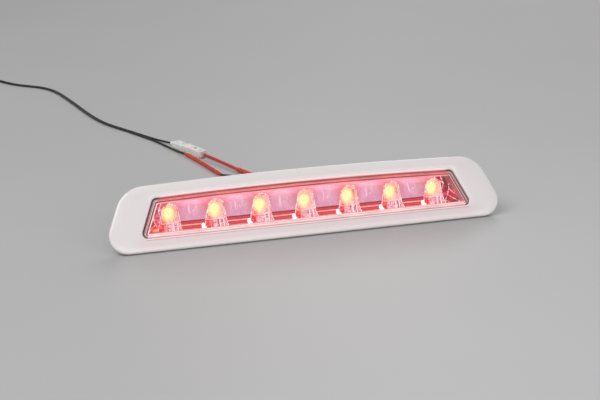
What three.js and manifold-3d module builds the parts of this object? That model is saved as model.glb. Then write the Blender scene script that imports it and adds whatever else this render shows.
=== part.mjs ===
// High-mount third brake light of a van, standing leaned back on a table, with its lead laid behind it.
// Millimetres, +Z up. X runs along the lamp and its face looks towards -Y. The origin is the middle of the
// lamp's own footprint, at table height. The lead isn't counted in that footprint.
// The lamp is drawn upright first: x along the face, y the depth behind the face, z the height up the face.

import * as THREE from 'three';
import { mergeVertices } from 'three/addons/utils/BufferGeometryUtils.js';
import Module from 'manifold-3d';

const wasm = await Module();
wasm.setup();

// ---------------------------------------------------------------- driving dimensions
const fit = 0.3;                  // clearance between two pieces that touch

// face of the lamp
const lampWidth = 270;
const lampHeight = 45.4;          // at the middle of the crowned top edge
const crownDrop = 3.2;            // how far the top edge falls at the lamp's ends
const sideTilt = THREE.MathUtils.degToRad(23);
const footRadius = 12;
const shoulderRadius = 20;
const bezelThickness = 3.2;
const bezelEdge = 1.6;            // rounding of the bezel's outer edge
const windowLip = 1.2;            // chamfer round the window

// window in the bezel
const windowAbove = 8.8;          // bezel's width under the window
const windowBelow = 9.0;          // and over it
const windowInside = 20.4;        // and beside it
const windowRadius = 3.5;

// lens
const lensSink = 1.4;             // ledge of the lens below the bezel's face
const lensCrownSink = 0.7;        // raised middle of the lens below the bezel's face
const lensBorder = 3.2;           // width of the ledge
const lensBevel = 0.9;            // slope between ledge and middle
const lensSkin = 2.0;
const lensFlange = 2.6;           // how far the flange reaches under the bezel
const flangeThickness = 1.8;

// housing
const housingDepth = 22.2;        // face of the bezel to the back of the housing
const housingWall = 1.8;
const wallOutside = 1.8;          // housing wall outside the window, at the flange
const backInset = 2.2;            // housing back inside the window
const flangeOverlap = 3.2;        // housing flange outside the window, above and below
const flangeMargin = 5.4;         // housing flange outside its screws
const grooveWidth = 1.5;
const grooveDepth = 1.2;

// light sources
const ledCount = 7;
const ledEndMargin = 15.1;        // last LED to the window's slanting side
const ledDrop = 9.8;              // LED's middle below the window's top edge
const ledSize = 7.6;
const ledBody = 2.4;              // thickness of an LED's square body
const domeRadius = 2.4;
const domeGap = 0.7;              // between an LED's dome and its optic
const boardThickness = 1.2;
const boardStandoff = 2.9;        // board's back to the housing's back wall
const boardScrewRise = 9.2;       // board screws above the window's lower edge

// reflector
const reflectorSkin = 1.2;
const rimThickness = 1.2;
const pocketRise = 1.7;           // pockets' rims in front of the flat panels
const pocketRim = 1;              // width of a rim
const floorAhead = 0.5;           // pockets' floors in front of the LEDs' bodies
const pocketMargin = 1.5;         // pocket's half width beyond the LED's, at the spring of its arch
const pocketFlare = 2.6;          // and so much more at its foot
const pocketTaper = 0.9;          // how much narrower a pocket is at its floor
const archRise = 4.7;
const archHeadroom = 3.1;         // arch's top below the window's top edge
const footRise = 3.6;             // pocket's foot above the window's lower edge
const ledgeRise = 9.8;            // top of the upper ledge above the window's lower edge
const foldRise = 6;               // fold between the two ledges above it
const ledgeShares = [0.724, 0.592, 0.408];   // ledges' depths, from the reflector's front to its panels
const legRadius = 1.8;
const opticThickness = 0.8;
const opticSetback = 0.1;         // optics behind the pockets' rims
const opticRise = 6.1;            // optic's lower edge above the pocket's foot

// fastenings and cable outlet
const screwRadius = 1.1;
const screwHead = 2.3;
const screwGap = 2.2;             // bezel's screw bosses clear of the lens flange
const screwRises = [4.2, -8.4];   // housing screws above the window's lower edge and below its top one
const screwDepth = 4;             // board screws' shanks
const housingScrewDepth = 5.2;
const studInside = 24.4;          // studs inside the window's slanting side
const studRadius = 2.5;
const studHead = 1.7;             // head's rim outside the stud
const studReach = 11.8;           // studs behind the housing
const studBoss = 5.5;
const studBossHeight = 2;
const outletOffset = 14;
const ventSpacing = 47;           // vent to the nearer stud
const ventRadius = 4;
const grommetRadius = 6.4;
const grommetNeck = 4.6;
const wireSpread = 2.6;           // each lead's distance from the outlet's middle
const wireHole = 1.6;             // radius of the board's holes for the leads

// lead
const redWire = 2.4;
const blackWire = 1.6;
const twinWidth = 3.2;
const spliceWidth = 2.8;
const crimpWidth = 4.2;
const coilMiddle = 34;            // diameter at the middle of the coil's turns
const coilWidth = 7.4;
const coilHeight = 3.8;

// ---------------------------------------------------------------- finishes
const finish = {
  gloss: new THREE.MeshStandardMaterial({ color: 0xe6e1de, roughness: 0.18, metalness: 0 }),
  clear: new THREE.MeshStandardMaterial({
    color: 0xf3e6ea, roughness: 0.05, metalness: 0, transparent: true, opacity: 0.25,
  }),
  chrome: new THREE.MeshStandardMaterial({ color: 0xd9b9c4, roughness: 0.12, metalness: 1 }),
  led: new THREE.MeshStandardMaterial({
    color: 0xffe08a, roughness: 0.3, metalness: 0, emissive: 0xff5a20, emissiveIntensity: 2,
  }),
  black: new THREE.MeshStandardMaterial({ color: 0x1b1a1a, roughness: 0.55, metalness: 0 }),
  rubber: new THREE.MeshStandardMaterial({ color: 0x232222, roughness: 0.8, metalness: 0 }),
  foam: new THREE.MeshStandardMaterial({ color: 0x3a3a3c, roughness: 0.95, metalness: 0 }),
  steel: new THREE.MeshStandardMaterial({ color: 0xb9bcc0, roughness: 0.35, metalness: 1 }),
  board: new THREE.MeshStandardMaterial({ color: 0xe8e8e4, roughness: 0.5, metalness: 0 }),
  part: new THREE.MeshStandardMaterial({ color: 0x26262a, roughness: 0.4, metalness: 0 }),
  nylon: new THREE.MeshStandardMaterial({ color: 0xe9e6dd, roughness: 0.4, metalness: 0 }),
  redVinyl: new THREE.MeshStandardMaterial({ color: 0xb3221b, roughness: 0.4, metalness: 0 }),
  blackVinyl: new THREE.MeshStandardMaterial({ color: 0x201d1e, roughness: 0.45, metalness: 0 }),
};

// ---------------------------------------------------------------- outlines
// A trapezoid with rounded corners and a crowned top. reach is the side line's distance from the origin,
// measured along the line's own normal.
const sideX = Math.cos(sideTilt);
const sideZ = Math.sin(sideTilt);
const crownSpan = lampWidth / 2;
const bezelReach = sideX * (crownSpan - footRadius) + sideZ * footRadius + footRadius;

const bossRadius = 2 * screwRadius + 1;
const screwOut = lensFlange + bossRadius + screwGap;

const bezelShape = {
  low: 0, high: lampHeight, reach: bezelReach, foot: footRadius, shoulder: shoulderRadius,
};
const windowShape = {
  low: windowAbove, high: lampHeight - windowBelow, reach: bezelReach - windowInside,
  foot: windowRadius, shoulder: windowRadius,
};
const flangeShape = {
  low: windowShape.low - flangeOverlap, high: windowShape.high + flangeOverlap,
  reach: windowShape.reach + screwOut + flangeMargin, foot: footRadius - 3, shoulder: shoulderRadius - 6,
};
const sideAt = (shape, z) => (shape.reach - sideZ * z) / sideX;

// Heights up the face.
const windowMiddle = (windowShape.low + windowShape.high) / 2;
const ledHeight = windowShape.high - ledDrop;
const bellTop = windowShape.high - archHeadroom;
const bellSpring = bellTop - archRise;
const bellLow = windowShape.low + footRise;
const bellHead = ledSize / 2 + pocketMargin;
const bellFoot = bellHead + pocketFlare;
const opticLow = bellLow + opticRise;

// How far the crowned top edge has fallen at a place along the lamp.
const crownAt = (x) => crownDrop * (x / crownSpan) ** 2;

function grow(shape, by) {
  return {
    low: shape.low - by,
    high: shape.high + by,
    reach: shape.reach + by,
    foot: Math.max(shape.foot + by, 0.5),
    shoulder: Math.max(shape.shoulder + by, 0.5),
  };
}

function arc(cx, cz, radius, from, to, steps) {
  const points = [];
  for (let i = 0; i <= steps; i++) {
    const angle = from + (to - from) * i / steps;
    points.push(new THREE.Vector2(cx + radius * Math.cos(angle), cz + radius * Math.sin(angle)));
  }
  return points;
}

function outline(shape, cornerSteps = 8) {
  const footZ = shape.low + shape.foot;
  const footX = (shape.reach - shape.foot - sideZ * footZ) / sideX;
  const topAt = (x) => shape.high - crownAt(x);
  let slope = 0;
  let tangentX = footX;
  let shoulderZ = topAt(footX) - shape.shoulder;
  let shoulderX = footX;
  for (let i = 0; i < 8; i++) {
    shoulderX = (shape.reach - shape.shoulder - sideZ * shoulderZ) / sideX;
    tangentX = shoulderX + shape.shoulder * Math.sin(slope);
    slope = Math.atan(2 * crownDrop * tangentX / crownSpan ** 2);
    shoulderZ = topAt(tangentX) - shape.shoulder * Math.cos(slope);
  }
  const half = [
    ...arc(footX, footZ, shape.foot, -Math.PI / 2, sideTilt, cornerSteps),
    ...arc(shoulderX, shoulderZ, shape.shoulder, sideTilt, Math.PI / 2 - slope, cornerSteps),
  ];
  for (let i = 1; i < 5; i++) {
    const x = tangentX * (1 - i / 5);
    half.push(new THREE.Vector2(x, topAt(x)));
  }
  const mirrored = half.map((p) => new THREE.Vector2(-p.x, p.y)).reverse();
  return [...half, new THREE.Vector2(0, shape.high), ...mirrored];
}

// Pocket outline: an arch on two sides that flare towards the foot.
function bell(centre, by, low = bellLow) {
  const spring = bellSpring - crownAt(centre);
  const wide = bellFoot + (bellHead - bellFoot) * (low - bellLow) / (spring - bellLow) + by;
  const points = [new THREE.Vector2(centre - wide, low - by), new THREE.Vector2(centre + wide, low - by)];
  const rise = bellTop - bellSpring + by;
  for (let i = 0; i <= 8; i++) {
    const angle = Math.PI * i / 8;
    points.push(new THREE.Vector2(
      centre + (bellHead + by) * Math.cos(angle), spring + rise * Math.sin(angle)));
  }
  return points;
}

function box2(x0, z0, x1, z1) {
  return [
    new THREE.Vector2(x0, z0), new THREE.Vector2(x1, z0),
    new THREE.Vector2(x1, z1), new THREE.Vector2(x0, z1),
  ];
}

function disc(cx, cz, radius, steps = 16) {
  return arc(cx, cz, radius, 0, 2 * Math.PI * (1 - 1 / steps), steps - 1);
}

// ---------------------------------------------------------------- solids
// Body through a row of loops with equal point counts, each at its own depth, front one first.
function loft(stations) {
  const count = stations[0].loop.length;
  const position = [];
  for (const { loop, depth } of stations) {
    for (const p of loop) {
      position.push(p.x, depth, p.y);
    }
  }
  const index = [];
  for (const [a, b, c] of THREE.ShapeUtils.triangulateShape(stations[0].loop, [])) {
    index.push(a, b, c);
  }
  for (let s = 0; s + 1 < stations.length; s++) {
    for (let i = 0; i < count; i++) {
      const a = s * count + i;
      const b = s * count + (i + 1) % count;
      index.push(a, a + count, b + count, a, b + count, b);
    }
  }
  const last = (stations.length - 1) * count;
  for (const [a, b, c] of THREE.ShapeUtils.triangulateShape(stations.at(-1).loop, [])) {
    index.push(last + a, last + c, last + b);
  }
  const geometry = new THREE.BufferGeometry();
  geometry.setAttribute('position', new THREE.Float32BufferAttribute(position, 3));
  geometry.setIndex(index);
  return solid(geometry);
}

function slab(loop, front, back) {
  return loft([{ loop, depth: front }, { loop, depth: back }]);
}

function solid(geometry) {
  const bare = geometry.clone();
  bare.deleteAttribute('normal');
  bare.deleteAttribute('uv');
  const merged = mergeVertices(bare, 1e-4);
  return new wasm.Manifold(new wasm.Mesh({
    numProp: 3,
    vertProperties: new Float32Array(merged.attributes.position.array),
    triVerts: new Uint32Array(merged.index.array),
  }));
}

function geometryOf(body) {
  const mesh = body.getMesh();
  const geometry = new THREE.BufferGeometry();
  geometry.setAttribute('position', new THREE.Float32BufferAttribute(mesh.vertProperties, 3));
  geometry.setIndex(Array.from(mesh.triVerts));
  geometry.computeVertexNormals();
  return geometry;
}

function join(bodies) {
  return bodies.reduce((sum, body) => sum.add(body));
}

function cut(body, tools) {
  return tools.reduce((rest, tool) => rest.subtract(tool), body);
}

// Turned piece whose axis runs along the depth; profile points are (radius, depth), from axis to axis.
function turned(profile, x, z, steps = 16) {
  const geometry = new THREE.LatheGeometry(profile.map(([r, d]) => new THREE.Vector2(r, d)), steps);
  geometry.translate(x, 0, z);
  return solid(geometry);
}

const lamp = new THREE.Group();
function add(group, name, body, material) {
  const mesh = new THREE.Mesh(body instanceof THREE.BufferGeometry ? body : geometryOf(body), material);
  mesh.name = name;
  group.add(mesh);
  return mesh;
}

// Places along the lamp.
const ledPitch = 2 * (sideAt(windowShape, ledHeight) - ledEndMargin) / (ledCount - 1);
const ledPlaces = Array.from({ length: ledCount }, (_, i) => ledPitch * (i - (ledCount - 1) / 2));
const afterLed = (i) => ledPlaces[i] + ledPitch / 2;
const reflectorLegs = [0, 2, 3, 5].map((i) => [afterLed(i), windowMiddle]);
const boardScrewPlaces = [1, 4].map((i) => [afterLed(i), windowShape.low + boardScrewRise]);
const studOffset = sideAt(windowShape, windowMiddle) - studInside;
const ventOffset = ventSpacing - studOffset;
const screwHeights = [windowShape.low + screwRises[0], windowShape.high + screwRises[1]];
const screwPlaces = [-1, 1].flatMap((side) => screwHeights.map((z) => ({
  x: side * (sideAt(windowShape, z) + screwOut), z,
})));

// Depths behind the face.
const flangeFront = bezelThickness + fit;                  // lens flange, from here
const flangeBack = flangeFront + flangeThickness;          // to here
const seatFront = flangeBack + fit;                        // housing flange, from here
const seatBack = seatFront + housingWall;                  // to here
const backFace = housingDepth - housingWall;               // inside of the housing's back
const boardBack = backFace - boardStandoff;
const boardFront = boardBack - boardThickness;
const ledFront = boardFront - fit - ledBody;
const pocketFloor = ledFront - floorAhead;
const opticFront = ledFront - domeRadius - domeGap - opticThickness;
const pocketFront = opticFront - opticSetback;
const panelDepth = pocketFront + pocketRise;
const reflectorFront = lensSink + lensSkin + fit;
// Outside of the housing's wall beyond the window's outline, at a depth.
const wallSlope = (wallOutside + backInset) / (housingDepth - seatBack);
const wallAt = (depth) => wallOutside - wallSlope * (depth - seatBack);

// ---------------------------------------------------------------- bezel
function makeBezel() {
  const body = loft([
    { loop: outline(grow(bezelShape, -bezelEdge)), depth: 0 },
    { loop: outline(grow(bezelShape, -bezelEdge * 0.3)), depth: bezelEdge * 0.3 },
    { loop: outline(bezelShape), depth: bezelEdge },
    { loop: outline(bezelShape), depth: bezelThickness },
  ]);
  const opening = loft([
    { loop: outline(grow(windowShape, windowLip + 0.5)), depth: -0.5 },
    { loop: outline(windowShape), depth: windowLip },
    { loop: outline(windowShape), depth: bezelThickness + 1 },
  ]);
  const bosses = screwPlaces.map(({ x, z }) => slab(
    disc(x, z, bossRadius), bezelThickness - 0.5, seatFront - fit));
  const pilots = screwPlaces.map(({ x, z }) => slab(
    disc(x, z, screwRadius + fit, 12), bezelEdge, seatFront + 1));
  return cut(join([body, ...bosses]), [opening, ...pilots]);
}

// ---------------------------------------------------------------- lens
function makeLens() {
  const inside = grow(windowShape, -fit);
  const body = join([
    slab(outline(inside), lensSink, flangeBack),
    slab(outline(grow(windowShape, lensFlange)), flangeFront, flangeBack),
    loft([
      { loop: outline(grow(inside, -lensBorder - lensBevel)), depth: lensCrownSink },
      { loop: outline(grow(inside, -lensBorder)), depth: lensSink + 0.2 },
      { loop: outline(grow(inside, -lensBorder)), depth: lensSink + 1 },
    ]),
  ]);
  return cut(body, [slab(outline(grow(inside, -lensSkin)), lensSink + lensSkin, flangeBack + 1)]);
}

// ---------------------------------------------------------------- housing and what seals it
const grooveInside = (flangeOverlap - grooveWidth) / 2 + 0.15;

function makeHousing() {
  const shell = join([
    slab(outline(flangeShape), seatFront, seatBack),
    loft([
      { loop: outline(grow(windowShape, wallOutside)), depth: seatBack - 0.5 },
      { loop: outline(grow(windowShape, wallOutside)), depth: seatBack },
      { loop: outline(grow(windowShape, -backInset)), depth: housingDepth },
    ]),
    ...[-studOffset, studOffset].map((x) => slab(
      disc(x, windowMiddle, studBoss), backFace, housingDepth + studBossHeight)),
  ]);
  const hollow = loft([
    { loop: outline(grow(windowShape, wallAt(seatBack) - housingWall)), depth: seatFront - 1 },
    { loop: outline(grow(windowShape, wallAt(seatBack) - housingWall)), depth: seatBack },
    { loop: outline(grow(windowShape, wallAt(backFace) - housingWall)), depth: backFace },
  ]);
  const groove = cut(
    slab(outline(grow(windowShape, grooveInside + grooveWidth)), seatFront - 1, seatFront + grooveDepth),
    [slab(outline(grow(windowShape, grooveInside)), seatFront - 2, seatBack)]);
  const posts = boardScrewPlaces.map(([x, z]) => slab(disc(x, z, 3), boardBack + fit, backFace + 0.5));
  const holes = [
    ...screwPlaces.map(({ x, z }) => slab(
      disc(x, z, screwRadius + 2 * fit, 12), seatFront - 1, seatBack + 1)),
    ...[-studOffset, studOffset].map((x) => slab(
      disc(x, windowMiddle, studRadius + fit), backFace - 1, housingDepth + 2 * studBossHeight)),
    ...boardScrewPlaces.map(([x, z]) => slab(
      disc(x, z, screwRadius + fit, 12), boardBack - 1, boardFront + screwDepth + fit)),
    slab(disc(outletOffset, windowMiddle, grommetNeck + fit), backFace - 1, housingDepth + 1),
    slab(disc(ventOffset, windowMiddle, ventRadius / 2), backFace - 1, housingDepth + 1),
  ];
  return cut(join([cut(shell, [hollow]), ...posts]), [groove, ...holes]);
}

function ring(shape, outer, inner, front, back) {
  return cut(slab(outline(grow(shape, outer)), front, back), [
    slab(outline(grow(shape, inner)), front - 1, back + 1)]);
}

function makeBead() {
  const outer = grooveInside + grooveWidth - fit;
  return ring(windowShape, outer, grooveInside + fit, seatFront, seatFront + grooveDepth - fit);
}

function makeGasket() {
  return cut(slab(outline(grow(bezelShape, -1.5)), bezelThickness + fit, seatFront - 0.1), [
    slab(outline(grow(flangeShape, fit)), 0, seatBack)]);
}

// ---------------------------------------------------------------- reflector
const reflectorShape = grow(windowShape, -lensSkin - 2 * fit - 0.1);
const [ledgeTopDepth, foldDepth, lowDepth] = ledgeShares.map(
  (share) => reflectorFront + (panelDepth - reflectorFront) * share);

function makeReflector() {
  const rim = ring(reflectorShape, 0, -rimThickness, reflectorFront, panelDepth + reflectorSkin);
  const plate = slab(outline(reflectorShape), panelDepth, panelDepth + reflectorSkin);
  // two sloping ledges under the panels, drawn in depth and height and run along the lamp
  const low = reflectorShape.low;
  const ledgeTop = windowShape.low + ledgeRise;
  const fold = windowShape.low + foldRise;
  const sunk = panelDepth + 0.5;
  const ledges = new THREE.Shape([
    new THREE.Vector2(sunk, low), new THREE.Vector2(sunk, ledgeTop),
    new THREE.Vector2(panelDepth, ledgeTop), new THREE.Vector2(ledgeTopDepth, fold),
    new THREE.Vector2(foldDepth, fold), new THREE.Vector2(lowDepth, low),
  ]);
  const bars = new THREE.ExtrudeGeometry(ledges, { depth: lampWidth, bevelEnabled: false });
  bars.rotateX(Math.PI / 2);
  bars.rotateZ(Math.PI / 2);
  bars.translate(-lampWidth / 2, 0, 0);
  const bounds = slab(outline(reflectorShape), 0, housingDepth);
  const cups = ledPlaces.map((x) => loft([
    { loop: bell(x, pocketRim), depth: pocketFront },
    { loop: bell(x, 0.3), depth: pocketFloor + reflectorSkin },
  ]));
  const cavities = ledPlaces.map((x) => loft([
    { loop: bell(x, 0.2), depth: 0 },
    { loop: bell(x, 0), depth: pocketFront },
    { loop: bell(x, -pocketTaper), depth: pocketFloor },
  ]));
  const side = ledSize / 2 + fit;
  const holes = ledPlaces.map((x) => slab(
    box2(x - side, ledHeight - side, x + side, ledHeight + side), pocketFloor - 1, boardFront));
  const legs = reflectorLegs.map(([x, z]) => slab(disc(x, z, legRadius, 12), sunk, boardFront - fit));
  const body = join([rim, plate, solid(bars).intersect(bounds), ...cups]);
  return cut(join([cut(body, cavities), ...legs]), holes);
}

// ---------------------------------------------------------------- light sources and board
function makeLed(x) {
  const half = ledSize / 2;
  const square = box2(x - half, ledHeight - half, x + half, ledHeight + half);
  const dome = [[0, ledFront - domeRadius]];
  for (let i = 1; i <= 5; i++) {
    const angle = Math.PI / 2 * i / 5;
    dome.push([domeRadius * Math.sin(angle), ledFront - domeRadius * Math.cos(angle)]);
  }
  dome.push([domeRadius, ledFront + 0.5], [0, ledFront + 0.5]);
  return join([slab(square, ledFront, boardFront - fit), turned(dome, x, ledHeight, 14)]);
}

function makeOptic(x) {
  return slab(bell(x, -2 * fit, opticLow), opticFront, opticFront + opticThickness);
}

function makeBoard() {
  const shape = grow(windowShape, wallAt(boardBack) - housingWall - 2 * fit);
  const through = (x, z, radius) => slab(disc(x, z, radius, 12), boardFront - 1, boardBack + 1);
  return cut(slab(outline(shape, 4), boardFront, boardBack), [
    ...boardScrewPlaces.map(([x, z]) => through(x, z, screwRadius + fit)),
    ...[-1, 1].map((side) => through(outletOffset + side * wireSpread, windowMiddle, wireHole)),
  ]);
}

function screw(x, z, seat, length, way) {
  // way is 1 when the shank points into the depth, and -1 when it points towards the face
  const head = 1.3;
  const profile = [
    [0, seat - way * head], [screwHead * 0.8, seat - way * head], [screwHead, seat - way * head * 0.5],
    [screwHead, seat], [screwRadius, seat], [screwRadius, seat + way * length], [0, seat + way * length],
  ];
  return turned(way > 0 ? profile : profile.reverse(), x, z, 12);
}

// ---------------------------------------------------------------- fastenings and outlet
function makeStud(x) {
  const headBack = backFace - fit;
  const headFront = headBack - 1.8;
  const headRadius = studRadius + studHead;
  const tip = housingDepth + studReach;
  return turned([
    [0, headFront], [headRadius, headFront], [headRadius, headBack], [studRadius, headBack],
    [studRadius, tip - 0.5], [studRadius - 0.5, tip], [0, tip],
  ], x, windowMiddle);
}

function makeGrommet() {
  const collar = housingDepth + fit;
  const body = turned([
    [0, backFace - 0.4], [grommetNeck, backFace - 0.4], [grommetNeck, collar],
    [grommetRadius, collar], [grommetRadius, collar + 1.2], [grommetRadius - 1, collar + 2],
    [0, collar + 2],
  ], outletOffset, windowMiddle);
  return cut(body, [[1, redWire], [-1, blackWire]].map(([side, wire]) => {
    const way = disc(outletOffset + side * wireSpread, windowMiddle, wire / 2 + fit, 12);
    return slab(way, backFace - 2, housingDepth + 5);
  }));
}

function makeVent() {
  const seat = housingDepth + fit;
  const nose = ventRadius / 2 - fit;
  return turned([
    [0, seat - 2.6], [nose, seat - 2.6], [nose, seat], [ventRadius, seat],
    [ventRadius, seat + 1], [ventRadius - 0.7, seat + 1.7], [0, seat + 1.7],
  ], ventOffset, windowMiddle);
}

add(lamp, 'bezel', makeBezel(), finish.gloss);
add(lamp, 'lens', makeLens(), finish.clear);
add(lamp, 'lens_bead', makeBead(), finish.rubber);
add(lamp, 'reflector', makeReflector(), finish.chrome);
ledPlaces.forEach((x, i) => {
  add(lamp, `led_${i + 1}`, makeLed(x), finish.led);
  add(lamp, `optic_${i + 1}`, makeOptic(x), finish.clear);
});
add(lamp, 'circuit_board', makeBoard(), finish.board);
ledPlaces.forEach((x, i) => {
  const place = box2(x - 1.6, ledHeight + 1.8, x + 1.6, ledHeight + 3.4);
  add(lamp, `resistor_${i + 1}`, slab(place, boardBack + fit, boardBack + fit + 0.6), finish.part);
});
const diodePlace = box2(-4, windowMiddle - 2.6, 0.6, windowMiddle + 0.4);
add(lamp, 'board_diode', slab(diodePlace, boardBack + fit, boardBack + fit + 2.1), finish.part);
boardScrewPlaces.forEach(([x, z], i) => {
  add(lamp, `board_screw_${i + 1}`, screw(x, z, boardFront - fit, screwDepth, 1), finish.steel);
});
add(lamp, 'housing', makeHousing(), finish.black);
add(lamp, 'gasket', makeGasket(), finish.foam);
screwPlaces.forEach(({ x, z }, i) => {
  add(lamp, `housing_screw_${i + 1}`, screw(x, z, seatBack + fit, housingScrewDepth, -1), finish.steel);
});
add(lamp, 'mounting_stud_left', makeStud(-studOffset), finish.steel);
add(lamp, 'mounting_stud_right', makeStud(studOffset), finish.steel);
add(lamp, 'vent_cap', makeVent(), finish.rubber);
add(lamp, 'grommet', makeGrommet(), finish.rubber);

// ---------------------------------------------------------------- stance
// The lamp leans back until the back edge of the bezel's foot and the lower back edge of the housing both
// touch the table, and its own box is then centred on the origin.
const lean = Math.atan2(windowShape.low + backInset, housingDepth - bezelThickness);
lamp.rotation.x = -lean;
lamp.updateMatrixWorld(true);
const stand = new THREE.Box3().setFromObject(lamp, true);
const middle = stand.getCenter(new THREE.Vector3());
lamp.position.set(-middle.x, -middle.y, -stand.min.z);
lamp.updateMatrixWorld(true);

// ---------------------------------------------------------------- lead
// Each stretch is a plain tube; points are in the finished frame, on the table behind the lamp.
function tube(points, radius, flat = 1) {
  const path = new THREE.CatmullRomCurve3(points.map((p) => new THREE.Vector3(...p)), false, 'centripetal');
  const section = new THREE.Shape();
  for (let i = 0; i < 8; i++) {
    const angle = Math.PI * (i + 0.5) / 4;
    const x = radius * flat * Math.cos(angle);
    const y = radius * Math.sin(angle);
    if (i === 0) {
      section.moveTo(x, y);
    } else {
      section.lineTo(x, y);
    }
  }
  const steps = Math.max(2, Math.round(path.getLength() / (5 * radius)));
  return solid(new THREE.ExtrudeGeometry(section, { steps, extrudePath: path, bevelEnabled: false }));
}

const outletPoint = (side, depth) => lamp.localToWorld(
  new THREE.Vector3(outletOffset + side * wireSpread, depth, windowMiddle)).toArray();

const lead = new THREE.Group();

const redRoute = [
  outletPoint(1, boardBack + fit), outletPoint(1, housingDepth + 3), outletPoint(1, housingDepth + 8),
  [15.8, 27, 2.2], [14.2, 38, 1.5], [11.5, 52, 1.4], [7.5, 66, 1.4], [2.8, 79, 1.5], [-1.8, 88.5, 2],
  [-5.2, 96.2, 2.2],
];
const crimpEnds = [[-5.4, 96.6, 2.2], [-17.3, 123.7, 2.2]];
const redFront = [
  [-17.5, 124.2, 2.2], [-21.4, 133.2, 2.5], [-26.5, 145, 2.9], [-31, 155.3, 3], [-33.6, 161.2, 3],
];
const blackRoute = [
  outletPoint(-1, boardBack + fit), outletPoint(-1, housingDepth + 3), outletPoint(-1, housingDepth + 8),
  [9.5, 26, 1.9], [6.5, 38, 1.1], [1.5, 52, 0.9], [-4.5, 66, 0.9], [-9.6, 79, 0.9], [-13.2, 91, 0.9],
  [-16.2, 101, 0.9], [-20.2, 107.6, 1], [-25, 111.2, 1.3], [-29.9, 113.7, 1.5],
];
const spliceRoute = [
  [-31, 114.6, 1.5], [-33.8, 125, 1.5], [-37.6, 141, 1.5], [-41.8, 157, 1.5], [-46.6, 173, 1.5],
];
const spliceLeg = [
  [-46.8, 173.4, 1.5], [-50, 181, 1.1], [-53.2, 189.5, 0.9], [-56.4, 198, 0.9], [-60, 208, 0.9],
  [-64.6, 219, 0.9], [-70.4, 230.5, 0.9], [-75, 239.4, 0.9], [-78.8, 246.4, 0.9],
];
const plugLeg = [
  [-52.3, 199.6, 2.9], [-54.6, 205.2, 2.2], [-58, 213, 1.3], [-62.4, 221.2, 0.9], [-67.6, 230.2, 0.9],
  [-72.8, 239.4, 0.9], [-77, 247.4, 0.9],
];
const feedRoute = [
  [-78.2, 247.5, 0.9], [-82, 254, 0.9], [-87.4, 263.4, 0.9], [-93.2, 274.6, 0.9], [-98, 287, 0.9],
  [-101.8, 300, 0.9], [-105.8, 317, 0.9], [-109.6, 335.7, 0.9], [-113.4, 354, 0.9], [-117.4, 372, 0.9],
  [-121.6, 388.5, 0.9], [-127, 402.5, 0.9], [-134.6, 413.5, 0.9], [-144.4, 421.6, 0.9], [-154.6, 429.6, 0.9],
  [-163.4, 439.6, 0.9], [-170.2, 449.6, 0.9], [-176.2, 458.6, 0.9],
];
const tailRoute = [[-222.6, 459.6, 0.9], [-223.8, 453, 0.9], [-224.2, 446.4, 0.9]];
const coilCentre = new THREE.Vector3(-199.5, 457, 1.2);
const tieAngle = THREE.MathUtils.degToRad(235);

add(lead, 'lead_red_rear', tube(redRoute, redWire / 2), finish.redVinyl);
add(lead, 'crimp_sleeve', tube(crimpEnds, crimpWidth / 2, 0.72), finish.redVinyl);
add(lead, 'lead_red_front', tube(redFront, redWire / 2), finish.redVinyl);
add(lead, 'lead_black', tube(blackRoute, blackWire / 2), finish.blackVinyl);
add(lead, 'splice_sleeve', tube(spliceRoute, spliceWidth / 2), finish.redVinyl);
add(lead, 'leg_splice', tube(spliceLeg, blackWire / 2), finish.blackVinyl);
add(lead, 'leg_plug', tube(plugLeg, blackWire / 2), finish.blackVinyl);
add(lead, 'feed_cord', tube(feedRoute, twinWidth / 2, 0.5), finish.blackVinyl);
add(lead, 'feed_tail', tube(tailRoute, twinWidth / 2, 0.5), finish.blackVinyl);

// ---------------------------------------------------------------- in-line connector
// Both halves are drawn along local X, from the red lead's end towards the black strand, then turned.
const connectorStart = [-34, 161.8];
const connectorTurn = Math.atan2(0.899, -0.4375);
const socket = { length: 22, width: 7.4, height: 6.2, wall: 1 };
const plug = { length: 15, width: 6.8, height: 5.8, nose: 9, nub: 4.2, nubRadius: 1.9 };

function block(x0, x1, width, z0, z1) {
  const geometry = new THREE.BoxGeometry(x1 - x0, width, z1 - z0);
  geometry.translate((x0 + x1) / 2, 0, (z0 + z1) / 2);
  return solid(geometry);
}

function rodAlongX(x0, x1, radius, z) {
  const geometry = new THREE.CylinderGeometry(radius, radius, x1 - x0, 12);
  geometry.rotateZ(Math.PI / 2);
  geometry.translate((x0 + x1) / 2, 0, z);
  return solid(geometry);
}

function makeSocket() {
  const { length, width, height, wall } = socket;
  const body = join([
    block(2, length, width, 0, height), block(0, length, width - 1, height * 0.5, height),
    block(length - 2.4, length, width + 0.8, 0, height + 0.4),
  ]);
  return cut(body, [
    block(length - plug.nose - fit, length + 1, width - 2 * wall, wall, height - wall),
    block(length * 0.42, length * 0.42 + 1.8, 1.6, height - 0.7, height + 1),
    rodAlongX(-1, 3, redWire / 2 + fit, 3),
  ]);
}

function makePlug() {
  const start = socket.length + fit;
  const end = start + plug.length;
  const middle = socket.height / 2;
  const inside = socket.width - 2 * socket.wall - 2 * fit;
  const tall = socket.height - 2 * socket.wall - 2 * fit;
  return join([
    block(start, end, plug.width, 0, plug.height),
    block(start - plug.nose, start + 1, inside, middle - tall / 2, middle + tall / 2),
    block(start + 3.5, start + 10.5, plug.width - 2.6, plug.height - 0.5, plug.height + 1.5),
    rodAlongX(end - 1, end + plug.nub, plug.nubRadius, 2.9),
  ]);
}

const connector = new THREE.Group();
add(connector, 'connector_socket', makeSocket(), finish.nylon);
add(connector, 'connector_plug', makePlug(), finish.nylon);
connector.position.set(connectorStart[0], connectorStart[1], 0);
connector.rotation.z = connectorTurn;
lead.add(connector);

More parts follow.
